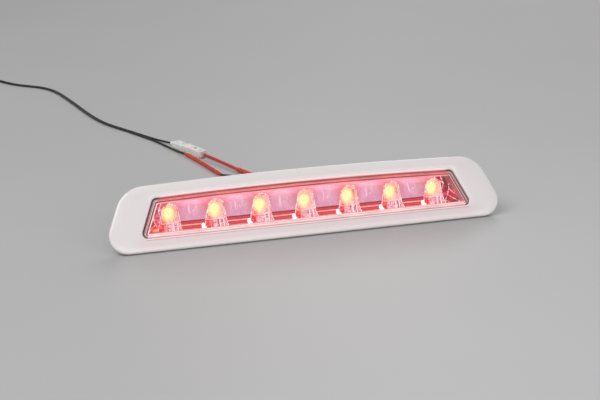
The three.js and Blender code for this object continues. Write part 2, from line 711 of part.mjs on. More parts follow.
// ---------------------------------------------------------------- coil, tie and vehicle plug
function makeCoil() {
  const inner = coilMiddle / 2 - coilWidth / 2;
  const outer = coilMiddle / 2 + coilWidth / 2;
  const section = [
    [inner, 0.8], [inner + 0.8, 0], [outer - 0.8, 0], [outer, 0.8], [outer, coilHeight - 0.8],
    [outer - 0.8, coilHeight], [inner + 0.8, coilHeight], [inner, coilHeight - 0.8], [inner, 0.8],
  ];
  const geometry = new THREE.LatheGeometry(section.map(([r, y]) => new THREE.Vector2(r, y)), 28);
  geometry.rotateX(Math.PI / 2);
  return solid(geometry);
}

function makeTie() {
  const thick = 0.8;
  const width = 2.4;
  const around = new THREE.BoxGeometry(coilWidth + 2 * (fit + thick), width, coilHeight + 2 * (fit + thick));
  const hollow = new THREE.BoxGeometry(coilWidth + 2 * fit, width + 1, coilHeight + 2 * fit);
  const head = new THREE.BoxGeometry(3.4, 3.4, 2);
  head.translate(0, 0, coilHeight / 2 + fit + thick + 0.8);
  return cut(join([solid(around), solid(head)]), [solid(hollow)]);
}

const coil = new THREE.Group();
add(coil, 'feed_coil', makeCoil(), finish.blackVinyl);
const tie = add(coil, 'coil_tie', makeTie(), finish.rubber);
tie.position.set(coilMiddle / 2 * Math.cos(tieAngle), coilMiddle / 2 * Math.sin(tieAngle), coilHeight / 2);
tie.rotation.z = tieAngle;
coil.position.copy(coilCentre);
lead.add(coil);

function makeFeedPlug() {
  const shell = join([block(0, 14, 7.6, 0, 5.4), block(-2.6, 1, 6, 0.4, 3.4), block(5, 12, 3, 5, 6.6)]);
  return cut(shell, [block(8, 15, 5.6, 1.1, 4.3)]);
}

const feedPlug = add(lead, 'feed_plug', makeFeedPlug(), finish.nylon);
feedPlug.position.set(-224.2, 443.4, 0);
feedPlug.rotation.z = -Math.PI / 2;

const thirdBrakeLight = new THREE.Group();
thirdBrakeLight.add(lamp, lead);

export default thirdBrakeLight;
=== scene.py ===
import math

import bmesh
import bpy
import numpy as np
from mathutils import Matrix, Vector


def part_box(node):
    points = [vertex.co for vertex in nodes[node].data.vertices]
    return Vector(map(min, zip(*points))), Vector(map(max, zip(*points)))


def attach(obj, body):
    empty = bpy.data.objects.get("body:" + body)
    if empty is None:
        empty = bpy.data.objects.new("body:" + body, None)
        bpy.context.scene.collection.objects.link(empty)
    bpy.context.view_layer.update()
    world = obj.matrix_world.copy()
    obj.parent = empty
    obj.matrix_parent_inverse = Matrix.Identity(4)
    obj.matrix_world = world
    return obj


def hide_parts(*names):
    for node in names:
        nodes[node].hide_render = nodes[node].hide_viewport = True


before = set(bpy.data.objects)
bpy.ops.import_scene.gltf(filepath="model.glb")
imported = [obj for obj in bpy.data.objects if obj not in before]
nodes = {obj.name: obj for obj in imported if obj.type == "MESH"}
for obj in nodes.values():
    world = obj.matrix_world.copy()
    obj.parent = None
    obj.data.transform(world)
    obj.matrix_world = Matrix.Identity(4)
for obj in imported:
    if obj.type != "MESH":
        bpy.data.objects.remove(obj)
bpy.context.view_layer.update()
print("frame loaded:", len(nodes), "nodes")

# where the lamp stands
# lamp places are (x along the face, d behind the face, h up the face), in millimetres
leanAngle = math.atan2(11.0, 19.0)
leanSin, leanCos = math.sin(leanAngle), math.cos(leanAngle)
bezelEdge = 1.6
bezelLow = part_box("bezel")[0]
lampY = bezelLow.y * 1000 - 0.3 * bezelEdge * (leanSin + leanCos)
lampZ = 3.2 * leanSin


def atLamp(points):
    x, d, h = np.asarray(points, float).reshape(-1, 3).T
    return np.stack([x, h * leanSin + d * leanCos + lampY, h * leanCos - d * leanSin + lampZ], 1)


# camera
cameraSetup = {"place": (-0.23055, -0.73677, 0.29962), "aim": (-0.0075, -0.01082, 0.02272), "roll": 0.26,
               "lens": 73.34, "sensor": 36.0}


def makeCamera(setup):
    data = bpy.data.cameras.new("camera")
    data.lens, data.sensor_width = setup["lens"], setup["sensor"]
    data.clip_start, data.clip_end = 0.01, 50
    camera = bpy.data.objects.new("camera", data)
    bpy.context.scene.collection.objects.link(camera)
    way = Vector(setup["aim"]) - Vector(setup["place"])
    turn = way.to_track_quat("-Z", "Y").to_matrix().to_4x4()
    roll = turn @ turn.__class__.Rotation(math.radians(setup["roll"]), 4, "Z")
    roll.translation = Vector(setup["place"])
    camera.matrix_world = roll
    bpy.context.scene.camera = camera


makeCamera(cameraSetup)


# materials: sockets that do arithmetic, and a finish that makes its nodes in one place
class Wire:
    def __init__(self, finish, socket):
        self.finish, self.socket = finish, socket

    def math(self, operation, *others, flip=False):
        values = [*others, self] if flip else [self, *others]
        node = self.finish.node("ShaderNodeMath", {"operation": operation}, dict(enumerate(values)))
        return Wire(self.finish, node.outputs[0])

    def __add__(self, other):
        return self.math("ADD", other)

    def __sub__(self, other):
        return self.math("SUBTRACT", other)

    def __rsub__(self, other):
        return self.math("SUBTRACT", other, flip=True)

    def __mul__(self, other):
        return self.math("MULTIPLY", other)

    def __truediv__(self, other):
        return self.math("DIVIDE", other)

    def __pow__(self, other):
        return self.math("POWER", other)

    __radd__, __rmul__ = __add__, __mul__

    def size(self):
        return self.math("ABSOLUTE")

    def ramp(self, low, high, start=0.0, end=1.0):  # smooth change from start to end between low and high
        node = self.finish.node("ShaderNodeMapRange", {"interpolation_type": "SMOOTHSTEP"}, {
            "Value": self, "From Min": low, "From Max": high, "To Min": start, "To Max": end})
        return Wire(self.finish, node.outputs["Result"])

    def band(self, low, high, soft):  # 1 between low and high, 0 outside
        return self.ramp(low - soft, low + soft) * self.ramp(high - soft, high + soft, 1.0, 0.0)


class Finish:
    def __init__(self, name, **surface):
        self.material = bpy.data.materials.new(name)
        self.material.use_nodes = True
        self.tree = self.material.node_tree
        self.tree.nodes.clear()
        self.shader = self.node("ShaderNodeBsdfPrincipled", inputs={
            key.replace("_", " "): value for key, value in surface.items()})
        self.output = self.node("ShaderNodeOutputMaterial", inputs={"Surface": self.shader.outputs[0]})

    def node(self, kind, settings=None, inputs=None):
        made = self.tree.nodes.new(kind)
        for key, value in (settings or {}).items():
            if key == "stops":
                ramp = made.color_ramp
                for extra in range(len(value) - 2):
                    ramp.elements.new(0.5)
                for element, (place, colour) in zip(ramp.elements, value):
                    element.position, element.color = place, (*colour, 1)
            else:
                setattr(made, key, value)
        for key, value in (inputs or {}).items():
            self.feed(made.inputs[key], value)
        return made

    def feed(self, socket, value):
        source = value.socket if isinstance(value, Wire) else value
        if isinstance(source, bpy.types.NodeSocket):
            self.tree.links.new(source, socket)
        elif socket.type == "RGBA":
            socket.default_value = (*value, 1) if len(value) == 3 else value
        else:
            socket.default_value = value

    def set(self, **values):
        for key, value in values.items():
            self.feed(self.shader.inputs[key.replace("_", " ")], value)
        return self

    def place(self):  # x, d and h of the lamp, in millimetres
        spot = self.node("ShaderNodeTexCoord").outputs["Object"]
        ways = [(1000, 0, 0), (0, 1000 * leanCos, -1000 * leanSin), (0, 1000 * leanSin, 1000 * leanCos)]
        offs = [0, lampY * leanCos - lampZ * leanSin, lampY * leanSin + lampZ * leanCos]
        found = []
        for way, off in zip(ways, offs):
            dot = self.node("ShaderNodeVectorMath", {"operation": "DOT_PRODUCT"}, {0: spot, 1: way})
            found.append(Wire(self, dot.outputs["Value"]) - off)
        return found

    def spot(self, x, y, z):
        return Wire(self, self.node("ShaderNodeCombineXYZ", inputs={0: x, 1: y, 2: z}).outputs[0])

    def noise(self, scale, detail=2.0, stretch=(1, 1, 1), vector=None):  # scale is in cycles for one metre
        spot = vector or self.node("ShaderNodeTexCoord").outputs["Object"]
        long = self.node("ShaderNodeMapping", inputs={"Vector": spot, "Scale": stretch})
        made = self.node("ShaderNodeTexNoise", inputs={
            "Vector": long.outputs[0], "Scale": scale, "Detail": detail})
        return Wire(self, made.outputs[0])

    def blend(self, factor, first, second):
        made = self.node("ShaderNodeMix", {"data_type": "RGBA"}, {0: factor, 6: first, 7: second})
        return Wire(self, made.outputs[2])

    def stops(self, value, stops):
        made = self.node("ShaderNodeValToRGB", {"stops": stops}, {0: value})
        return Wire(self, made.outputs[0])

    def bump(self, height, strength, distance):
        made = self.node("ShaderNodeBump", inputs={
            "Height": height, "Strength": strength, "Distance": distance})
        return self.set(Normal=made.outputs[0])


def mottled(name, colours, spots, grain=None, rough=None, **surface):
    # two colours in soft spots (scale, detail and where the change begins and ends), a fine grain (scale,
    # strength and depth) and a roughness that wanders (scale, least and most)
    finish = Finish(name, **surface)
    tone = finish.noise(*spots[:2])
    finish.set(Base_Color=finish.blend(tone.ramp(*spots[2:]) if spots[2:] else tone, *colours))
    if rough:
        finish.set(Roughness=finish.noise(rough[0], 3).ramp(0.3, 0.7, *rough[1:]))
    if grain:
        finish.bump(finish.noise(grain[0], 2), *grain[1:])
    return finish


# mesh helpers
weldReach = 2e-6  # points closer than this become one


def joinedFaces(work):  # groups of faces that share edges
    left, groups = set(work.faces), []
    while left:
        todo = [left.pop()]
        groups.append(todo)
        for face in todo:
            near = {other for edge in face.edges for other in edge.link_faces} & left
            left -= near
            todo.extend(near)
    return groups


def turnOutwards(work, skin):
    # a closed skin faces outwards; an open one faces the front and may get a thickness behind it
    front = Vector((0, -leanCos, leanSin))
    for group in joinedFaces(work):
        bmesh.ops.recalc_face_normals(work, faces=group)
        isOpen = any(len(edge.link_faces) == 1 for face in group for edge in face.edges)
        way = sum(face.calc_area() * face.normal.dot(front if isOpen else face.calc_center_median())
                  for face in group)
        if way < 0:
            bmesh.ops.reverse_faces(work, faces=group)
        if isOpen and skin:
            bmesh.ops.solidify(work, geom=group, thickness=skin / 1000)


def makePiece(name, points, faces, finishes, stands=(), picks=None, sharp=40, inLamp=True, skin=0):
    mesh = bpy.data.meshes.new(name)
    places = (atLamp(points) if inLamp else np.asarray(points, float)) / 1000
    mesh.from_pydata(places.tolist(), [], [list(face) for face in faces])
    for finish in finishes:
        mesh.materials.append(finish.material)
    if picks is not None:
        mesh.polygons.foreach_set("material_index", list(picks))
    work = bmesh.new()
    work.from_mesh(mesh)
    bmesh.ops.remove_doubles(work, verts=work.verts, dist=weldReach)
    turnOutwards(work, skin)
    work.to_mesh(mesh)
    work.free()
    mesh.shade_smooth()
    mesh.set_sharp_from_angle(angle=math.radians(sharp))
    mesh.update()
    piece = bpy.data.objects.new(name, mesh)
    bpy.context.scene.collection.objects.link(piece)
    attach(piece, "root")
    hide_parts(*stands)
    return piece


class Shape:  # points and faces of one piece, gathered from several closed or open skins
    def __init__(self):
        self.points, self.faces, self.picks = [], [], []

    def add(self, points, faces, pick=0):
        start = len(self.points)
        self.points += [tuple(p) for p in points]
        self.faces += [[start + i for i in face] for face in faces]
        self.picks += [pick] * len(faces)
        return self

    def grid(self, rows, pick=0, closed=False, loop=False, flip=False):
        # rows of equal length; closed joins each row's ends, loop joins the last row to the first
        rows = [list(map(tuple, row)) for row in rows]
        count, wide = len(rows), len(rows[0])
        faces = []
        for r in range(count if loop else count - 1):
            for c in range(wide if closed else wide - 1):
                a, b = r * wide + c, r * wide + (c + 1) % wide
                e, f = (r + 1) % count * wide + c, (r + 1) % count * wide + (c + 1) % wide
                faces.append((a, e, f, b) if flip else (a, b, f, e))
        return self.add([p for row in rows for p in row], faces, pick)

    def lathe(self, profile, centre, axis="d", steps=32, pick=0, wave=None, loop=False, turn=0.0):
        # profile of (radius, place along the axis); the axis goes through centre
        rows = []
        for radius, along in profile:
            row = []
            for i in range(steps):
                angle = 2 * math.pi * i / steps + turn
                r = radius * (1 + (wave(angle, along) if wave else 0))
                a, b = r * math.cos(angle), r * math.sin(angle)
                row.append({"d": (centre[0] + a, along, centre[1] + b),
                            "z": (centre[0] + a, centre[1] + b, along),
                            "x": (along, centre[0] + a, centre[1] + b)}[axis])
            rows.append(row)
        return self.grid(rows, pick, closed=True, loop=loop)

    def box(self, low, high, bevel=0.3, pick=0):
        # chamfered box: four rows of eight points and two ends, whose doubled points are welded later
        low, high = np.array(low, float), np.array(high, float)
        centre, half = (low + high) / 2, (high - low) / 2
        bevel = min(bevel, 0.9 * half.min())
        flat, rows = half - bevel, []
        for z, grown in ((-half[2], 0), (-flat[2], bevel), (flat[2], bevel), (half[2], 0)):
            rows.append([])
            for corner, (sx, sy) in enumerate(((1, -1), (1, 1), (-1, 1), (-1, -1))):
                for out in (corner % 2, 1 - corner % 2):
                    x, y = flat[0] + grown * out, flat[1] + grown * (1 - out)
                    rows[-1].append(centre + (sx * x, sy * y, z))
        self.grid(rows, pick, closed=True)
        return self.add(rows[0] + rows[-1], [(6, 4, 2, 0), (8, 10, 12, 14)], pick)

    def piece(self, name, finishes, slot, stands=(), sharp=40, inLamp=True, skin=0):
        return makePiece(name, self.points, self.faces, finishes, stands, self.picks, sharp,
                         inLamp, skin)


# leads and cords
def between(a, b, start, end, t):
    return a + (b - a) * (t - start) / (end - start)


def smoothRoute(points, step=1.5):  # centripetal curve through the points, sampled evenly
    points = np.array(points, float)
    points = np.vstack([2 * points[0] - points[1], points, 2 * points[-1] - points[-2]])
    fine = []
    for p in zip(points, points[1:], points[2:], points[3:]):
        k = np.cumsum([0, *(np.linalg.norm(b - a) ** 0.5 for a, b in zip(p, p[1:]))])
        for t in np.linspace(k[1], k[2], 12, endpoint=False):
            a = [between(p[i], p[i + 1], k[i], k[i + 1], t) for i in range(3)]
            b = [between(a[i], a[i + 1], k[i], k[i + 2], t) for i in range(2)]
            fine.append(between(*b, k[1], k[2], t))
    fine = np.array([*fine, points[-2]])
    along = np.concatenate([[0], np.cumsum(np.linalg.norm(np.diff(fine, axis=0), axis=1))])
    places = np.linspace(0, along[-1], max(4, int(along[-1] / step)))
    return np.stack([np.interp(places, along, fine[:, k]) for k in range(3)], 1)


def routeLength(route):
    return float(np.linalg.norm(np.diff(route, axis=0), axis=1).sum())


def tube(shape, route, section):
    # section(share) gives the (side, up) points of the tube's section at that share of its length
    rows = []
    for i, point in enumerate(route):
        way = route[min(i + 1, len(route) - 1)] - route[max(i - 1, 0)]
        way = way / np.linalg.norm(way)
        side = np.cross(way, (0, 0, 1))
        side = side / max(np.linalg.norm(side), 1e-6)
        up = np.cross(side, way)
        rows.append([point + a * side + b * up for a, b in section(i / (len(route) - 1))])
    rows = [[route[0]] * len(rows[0]), *rows, [route[-1]] * len(rows[0])]
    return shape.grid(rows, closed=True, flip=True)


def circle(steps):
    return [(math.cos(a), math.sin(a)) for a in np.linspace(0, 2 * math.pi, steps, endpoint=False)]


def roundSection(radius, steps=16):
    ring = [(radius * a, radius * b) for a, b in circle(steps)]
    return lambda share: ring


def twinSection(radius, steps=14):  # two round strands side by side, joined by a narrow web
    ring = []
    for side in (1, -1):
        for a in np.linspace(-0.8 * math.pi, 0.8 * math.pi, steps):
            ring.append((side * radius + side * radius * math.cos(a) * 0.98, side * radius * math.sin(a)))
    return lambda share: ring


def vinyl(name, colour, dark, roughness):
    finish = Finish(name, Roughness=roughness, Specular_IOR_Level=0.45, Coat_Weight=0.15, Coat_Roughness=0.25)
    worn = finish.noise(420, 3).ramp(0.35, 0.7)
    grain = finish.noise(2600, 2)
    finish.set(Base_Color=finish.blend(worn, colour, dark))
    finish.set(Roughness=roughness + 0.12 * worn)
    return finish.bump(grain, 0.12, 0.0002)


leadColours = {"red": (0.64, 0.042, 0.034), "redDark": (0.50, 0.028, 0.024), "sleeve": (0.66, 0.055, 0.026),
               "sleeveDark": (0.50, 0.032, 0.018), "black": (0.018, 0.016, 0.016),
               "blackDark": (0.010, 0.009, 0.009)}
redVinyl = vinyl("redVinyl", leadColours["red"], leadColours["redDark"], 0.36)
shrinkSleeve = vinyl("shrinkSleeve", leadColours["sleeve"], leadColours["sleeveDark"], 0.48)
blackVinyl = vinyl("blackVinyl", leadColours["black"], leadColours["blackDark"], 0.38)

outlet = {"x": 14.0, "h": 22.6, "spread": 2.6, "depths": (17.8, 25.2, 30.2)}


def outletPoints(side):
    x = outlet["x"] + side * outlet["spread"]
    return atLamp([(x, d, outlet["h"]) for d in outlet["depths"]]).tolist()


leadRoutes = {
    "redRear": [*outletPoints(1), [15.8, 27, 2.2], [14.2, 38, 1.5], [11.5, 52, 1.4], [7.5, 66, 1.4],
                [2.8, 79, 1.5], [-1.8, 88.5, 2], [-5.2, 96.2, 2.2]],
    "crimp": [[-5.4, 96.6, 2.2], [-17.3, 123.7, 2.2]],
    "redFront": [[-17.5, 124.2, 2.2], [-21.4, 133.2, 2.5], [-26.5, 145, 2.9], [-31, 155.3, 3],
                 [-33.6, 161.2, 3]],
    "black": [*outletPoints(-1), [9.5, 26, 1.9], [6.5, 38, 1.1], [1.5, 52, 0.9], [-4.5, 66, 0.9],
              [-9.6, 79, 0.9], [-13.2, 91, 0.9], [-16.2, 101, 0.9], [-20.2, 107.6, 1], [-25, 111.2, 1.3],
              [-29.9, 113.7, 1.5]],
    "splice": [[-31, 114.6, 1.5], [-33.8, 125, 1.5], [-37.6, 141, 1.5], [-41.8, 157, 1.5], [-46.6, 173, 1.5]],
    "spliceLeg": [[-46.8, 173.4, 1.5], [-50, 181, 1.1], [-53.2, 189.5, 0.9], [-56.4, 198, 0.9],
                  [-60, 208, 0.9], [-64.6, 219, 0.9], [-70.4, 230.5, 0.9], [-75, 239.4, 0.9],
                  [-78.8, 246.4, 0.9]],
    "plugLeg": [[-52.3, 199.6, 2.9], [-54.6, 205.2, 2.2], [-58, 213, 1.3], [-62.4, 221.2, 0.9],
                [-67.6, 230.2, 0.9], [-72.8, 239.4, 0.9], [-77, 247.4, 0.9]],
    "feed": [[-78.2, 247.5, 0.9], [-82, 254, 0.9], [-87.4, 263.4, 0.9], [-93.2, 274.6, 0.9], [-98, 287, 0.9],
             [-101.8, 300, 0.9], [-105.8, 317, 0.9], [-109.6, 335.7, 0.9], [-113.4, 354, 0.9],
             [-117.4, 372, 0.9], [-121.6, 388.5, 0.9], [-127, 402.5, 0.9], [-134.6, 413.5, 0.9],
             [-144.4, 421.6, 0.9], [-154.6, 429.6, 0.9], [-163.4, 439.6, 0.9], [-170.2, 449.6, 0.9],
             [-176.2, 458.6, 0.9]],
    "tail": [[-216.5, 467.6, 3.9], [-219.6, 464.3, 2.7], [-222.3, 459.2, 1.4], [-223.7, 453, 0.95],
             [-224.2, 446, 0.9]],
}
leadWidths = {"red": 2.4, "black": 1.6, "twin": 3.2, "crimp": 4.2, "splice": 2.8}
coilSetup = {"centre": (-199.5, 457.0), "joins": 40, "leaves": 120, "tie": 235, "lift": 0.6, "middle": 17.0,
             "turns": [(18.7, 0.85), (15.3, 0.85), (15.3, 2.5), (18.7, 2.5), (17.0, 4.0)]}


def coilRoute(setup):  # two turns on the table, two on top of them, and the last one in the groove above
    route, turns = [], setup["turns"]
    total = 360 * (len(turns) - 1) + setup["leaves"] - setup["joins"]
    for angle in range(0, total + 1, 10):
        now = turns[angle // 360]
        after = turns[min(angle // 360 + 1, len(turns) - 1)]
        share = min(max((angle % 360 - 250) / 105, 0), 1)
        share = share * share * (3 - 2 * share)
        radius, height = (a + (b - a) * share for a, b in zip(now, after))
        around = setup["joins"] + angle
        away = (around - setup["tie"] + 180) % 360 - 180
        height += setup["lift"] * math.exp(-(away / 24) ** 2)
        at = math.radians(around)
        route.append([setup["centre"][0] + radius * math.cos(at),
                      setup["centre"][1] + radius * math.sin(at), height])
    return route


def wire(name, route, section, finish, slot, stands):
    return tube(Shape(), route, section).piece(name, [finish], slot, stands, inLamp=False)


def declare(piece, route, width, end, **facts):
    print(piece.name, "is", round(routeLength(route) / 1000, 3), "m long")


redRoute = smoothRoute([*leadRoutes["redRear"], *leadRoutes["crimp"], *leadRoutes["redFront"]])
redLead = wire("red_lead", redRoute, roundSection(leadWidths["red"] / 2), redVinyl, "red_vinyl",
               ["lead_red_rear", "lead_red_front"])
blackRoute = smoothRoute([*leadRoutes["black"], *leadRoutes["splice"], *leadRoutes["spliceLeg"]])
thinSection = roundSection(leadWidths["black"] / 2)
blackLead = wire("black_lead", blackRoute, thinSection, blackVinyl, "black_vinyl",
                 ["lead_black", "leg_splice"])
plugLegRoute = smoothRoute(leadRoutes["plugLeg"])
plugLeg = wire("plug_strand", plugLegRoute, thinSection, blackVinyl, "black_vinyl", ["leg_plug"])
feedRoute = smoothRoute([*leadRoutes["feed"], *coilRoute(coilSetup), *leadRoutes["tail"]], 1.8)
feedCord = wire("twin_cord", feedRoute, twinSection(leadWidths["twin"] / 4), blackVinyl, "black_vinyl",
                ["feed_cord", "feed_coil", "feed_tail"])


# sleeves on the leads
def sleeve(name, points, width, flat, stands, lumps):
    # shrunk sleeve: full over its splice, drawn in at both ends onto the wire
    def section(share):
        ends = min(share, 1 - share)
        radius = width / 2 * (1 - 0.30 * math.exp(-(ends / 0.05) ** 2))
        swell = 1 + lumps * (0.5 - 0.5 * math.cos(2 * math.pi * min(max((share - 0.1) / 0.8, 0), 1)))
        return [(radius * a * (0.94 + 0.06 * swell), radius * b * flat * swell) for a, b in circle(20)]
    return wire(name, smoothRoute(points, 0.6), section, shrinkSleeve, "red_sleeve", stands)


crimpSleeve = sleeve("crimp_cover", leadRoutes["crimp"], leadWidths["crimp"], 0.72, ["crimp_sleeve"], 0.05)
spliceSleeve = sleeve("splice_cover", leadRoutes["splice"], leadWidths["splice"], 1.0, ["splice_sleeve"],
                      0.04)


# in-line connector, coil tie and plug
nylon = mottled("whiteNylon", ((0.84, 0.825, 0.79), (0.74, 0.72, 0.67)), (260, 3, 0.3, 0.75),
                (3500, 0.1, 0.0001), Roughness=0.38, Subsurface_Weight=0.15, Subsurface_Scale=0.001,
                Coat_Weight=0.1, Coat_Roughness=0.3)
# dark finish for the feed plug's contacts and, as painted shade, for openings: the latch window and the back
# of the feed plug's mouth
contactsAndShade = mottled("contactsAndShade", ((0.03, 0.03, 0.035), (0.10, 0.08, 0.05)), (900, 2, 0.4, 0.6),
                      Roughness=0.5)
tieNylon = mottled("tieNylon", ((0.02, 0.02, 0.021), (0.05, 0.05, 0.052)), (700, 2), (3000, 0.15, 0.0001),
                   Roughness=0.42, Coat_Weight=0.1, Coat_Roughness=0.3)
connectorSetup = {"start": (-34.0, 161.8), "turn": math.atan2(0.899, -0.4375), "socket": 22.0, "wide": 7.4,
                  "high": 6.2, "plug": 15.0, "plugWide": 6.8, "plugHigh": 5.8, "fit": 0.3}


def turned(shape, place, angle):
    c, s = math.cos(angle), math.sin(angle)
    shape.points = [(place[0] + x * c - y * s, place[1] + x * s + y * c, z) for x, y, z in shape.points]
    return shape


def guideRibs(shape, start, end, half):  # on both sides of a connector's body
    shape.box((start, -half - 0.15, 1.4), (end, -half + 0.5, 2.2), 0.1)
    shape.box((start, half - 0.5, 1.4), (end, half + 0.15, 2.2), 0.1)


def makeSocket(setup):
    long, wide, high = setup["socket"], setup["wide"], setup["high"]
    w, shape = wide / 2, Shape()
    shape.box((2.0, -w, 0.0), (long - 2.4, w, high), 0.55)
    shape.box((0.0, -w + 0.5, high * 0.5), (3.4, w - 0.5, high), 0.45)  # rear hood
    shape.box((0.6, -w + 0.9, 0.7), (2.6, w - 0.9, high * 0.55), 0.3)
    shape.box((long - 2.6, -w - 0.4, 0.0), (long, w + 0.4, high + 0.4), 0.5)  # mouth collar
    guideRibs(shape, 4.0, long - 4.5, w)
    shape.box((long * 0.55, -1.5, high - 0.3), (long - 3.2, 1.5, high + 0.35), 0.2)  # latch bridge
    shape.box((long * 0.42, -0.95, high - 0.4), (long * 0.42 + 1.9, 0.95, high + 0.06), 0.05, 1)  # window, a dark box standing as painted shade of the opening
    shape.lathe([(0.0, -0.05), (1.55, -0.05), (1.75, 0.25), (1.75, 2.3), (0.0, 2.3)], (0, 3.0), "x", 20)
    return turned(shape, setup["start"], setup["turn"])


def makePlug(setup):
    start = setup["socket"] + setup["fit"]
    end, w, high = start + setup["plug"], setup["plugWide"] / 2, setup["plugHigh"]
    shape = Shape()
    shape.box((start, -w, 0.0), (end, w, high), 0.55)
    shape.box((start, -w - 0.2, 0.0), (start + 2.0, w + 0.2, high + 0.2), 0.4)  # shoulder
    shape.box((start - 6.0, -w + 1.2, 1.2), (start + 0.6, w - 1.2, high - 1.0), 0.2)  # nose in the socket
    shape.box((start + 3.5, -w + 1.3, high - 0.4), (start + 10.5, w - 1.3, high + 1.1), 0.45)  # latch
    shape.box((start + 8.2, -w + 1.3, high + 0.5), (start + 10.5, w - 1.3, high + 1.5), 0.35)  # its rest
    guideRibs(shape, start + 4.2, end - 1.5, w)
    r = 1.9
    shape.lathe([(0.0, end - 0.6), (r + 0.3, end - 0.6), (r + 0.3, end + 0.3), (r, end + 0.6), (r, end + 1.4),
                 (r - 0.25, end + 1.6), (r - 0.25, end + 2.0), (r, end + 2.2), (r, end + 2.9),
                 (r - 0.25, end + 3.1), (r - 0.25, end + 3.5), (r - 0.15, end + 4.0), (0.95, end + 4.2),
                 (0.0, end + 4.2)], (0, 2.9), "x", 24)
    return turned(shape, setup["start"], setup["turn"])


socketPiece = makeSocket(connectorSetup).piece("connector_shell", [nylon, contactsAndShade], "white_nylon",
                                               ["connector_socket"], 30, False)
plugPiece = makePlug(connectorSetup).piece("connector_tail", [nylon, contactsAndShade], "white_nylon",
                                           ["connector_plug"], 30, False)

tieSetup = {"width": 2.4, "thick": 0.8, "halfLong": 3.95, "low": 0.45, "high": 4.1, "corner": 1.2}


def makeTie(setup, coil):
    # band round the two layers of turns, with its locking head on top
    at, middle = math.radians(coil["tie"]), coil["middle"]
    centre = (coil["centre"][0] + middle * math.cos(at), coil["centre"][1] + middle * math.sin(at))
    shape, corner = Shape(), setup["corner"]

    def ring(grown):
        x, low, high = setup["halfLong"] + grown, setup["low"] - grown, setup["high"] + grown
        r, path = corner + grown, []
        for cx, cz, start in ((x - r, low + r, -90), (x - r, high - r, 0), (-x + r, high - r, 90),
                              (-x + r, low + r, 180)):
            for a in np.radians(np.linspace(start, start + 90, 7)):
                path.append((cx + r * math.cos(a), cz + r * math.sin(a)))
        return path
    w, thick = setup["width"] / 2, setup["thick"] * 0.5
    rows = [[(px, side, pz) for px, pz in ring(grown)] for grown, side in
            ((0, -w), (thick * 0.8, -w), (thick, -w * 0.85), (thick, w * 0.85), (thick * 0.8, w), (0, w))]
    shape.grid(rows, closed=True, loop=True, flip=True)
    top = setup["high"] + thick
    shape.box((-1.7, -1.7, top - 0.3), (1.7, 1.7, top + 1.6), 0.35)
    shape.box((1.2, -w * 0.85, top + 0.5), (6.2, w * 0.85, top + 0.95), 0.12)  # cut end of the strap
    for step in range(6):
        shape.box((2.0 + step * 0.7, -w * 0.6, top + 0.85), (2.3 + step * 0.7, w * 0.6, top + 1.1), 0.08)
    return turned(shape, centre, at)


coilTie = makeTie(tieSetup, coilSetup).piece("cable_tie", [tieNylon], "tie_nylon", ["coil_tie"], 30, False)


feedPlugSetup = {"place": (-224.2, 443.4), "body": 11.6, "mouth": 14.0, "half": 3.8, "high": 5.4, "wall": 1.1}


def makeFeedPlug(setup):
    body, mouth, half, high, wall = (setup[key] for key in ("body", "mouth", "half", "high", "wall"))
    shape = Shape()
    shape.box((0.0, -half, 0.0), (body, half, high), 0.5)
    for side in (-1, 1):
        inner, outer = sorted((side * (half - 1.0), side * half))
        shape.box((body - 0.6, inner, 0.0), (mouth, outer, high), 0.3)  # walls of the open mouth
        shape.box((body - 0.6, side * 1.3 - 0.35, 2.3), (13.2, side * 1.3 + 0.35, 3.0), 0.1, 1)  # contact
        shape.box((2.0, side * half - 0.15, 1.6), (9.5, side * half + 0.15, 2.4), 0.1)  # guide rib
    for low in (0.0, high - wall):
        shape.box((body - 0.6, -half + 0.2, low), (mouth, half - 0.2, low + wall), 0.3)
    # dark plate at the back of the mouth: painted shade inside the opening
    shape.box((body - 0.3, -2.9, 1.0), (body + 0.2, 2.9, 4.4), 0.1, 1)
    shape.box((-2.6, -3.0, 0.4), (1.0, 3.0, 3.4), 0.5)  # rear hood
    shape.box((5.0, -1.5, 5.0), (12.0, 1.5, 6.2), 0.35)  # latch and its rest
    shape.box((9.6, -1.5, 5.8), (12.0, 1.5, 6.6), 0.3)
    return turned(shape, setup["place"], -math.pi / 2)


feedPlug = makeFeedPlug(feedPlugSetup).piece("feed_plug_shell", [nylon, contactsAndShade], "white_nylon",
                                             ["feed_plug"], 30, False)

declare(redLead, redRoute, leadWidths["red"], "connector", stiffness="limp", lay="loose",
        with_pieces=[crimpSleeve, socketPiece, plugPiece])
declare(blackLead, blackRoute, leadWidths["black"], "object", stiffness="limp", lay="loose",
        with_pieces=[spliceSleeve])
declare(plugLeg, plugLegRoute, leadWidths["black"], "object", stiffness="limp", lay="loose")
declare(feedCord, feedRoute, leadWidths["twin"], "connector", stiffness="limp", lay="coiled",
        with_pieces=[coilTie, feedPlug])
print("leads and connectors made")

# outlines of the lamp's face
faceSize = {"halfLong": 135.0, "high": 45.4, "crown": 3.2, "tilt": math.radians(23), "foot": 12.0,
            "shoulder": 20.0, "windowInside": 20.4, "flangeOutside": 13.4}
tiltCos, tiltSin = math.cos(faceSize["tilt"]), math.sin(faceSize["tilt"])
bezelReach = tiltCos * (faceSize["halfLong"] - faceSize["foot"]) + (tiltSin + 1) * faceSize["foot"]
windowReach = bezelReach - faceSize["windowInside"]


def faceShape(low, high, reach, foot, shoulder):  # reach is the slanting side's distance from the origin
    return {"low": low, "high": high, "reach": reach, "foot": foot, "shoulder": shoulder}


bezelShape = faceShape(0.0, faceSize["high"], bezelReach, faceSize["foot"], faceSize["shoulder"])
windowShape = faceShape(8.8, 36.4, windowReach, 3.5, 3.5)
flangeShape = faceShape(5.6, 39.6, windowReach + faceSize["flangeOutside"], 9.0, 14.0)
reflectorShape = faceShape(11.5, 33.7, windowReach - 2.7, 0.8, 0.8)


def crownAt(x):
    return faceSize["crown"] * (x / faceSize["halfLong"]) ** 2


def sideAt(shape, h):
    return (shape["reach"] - tiltSin * h) / tiltCos


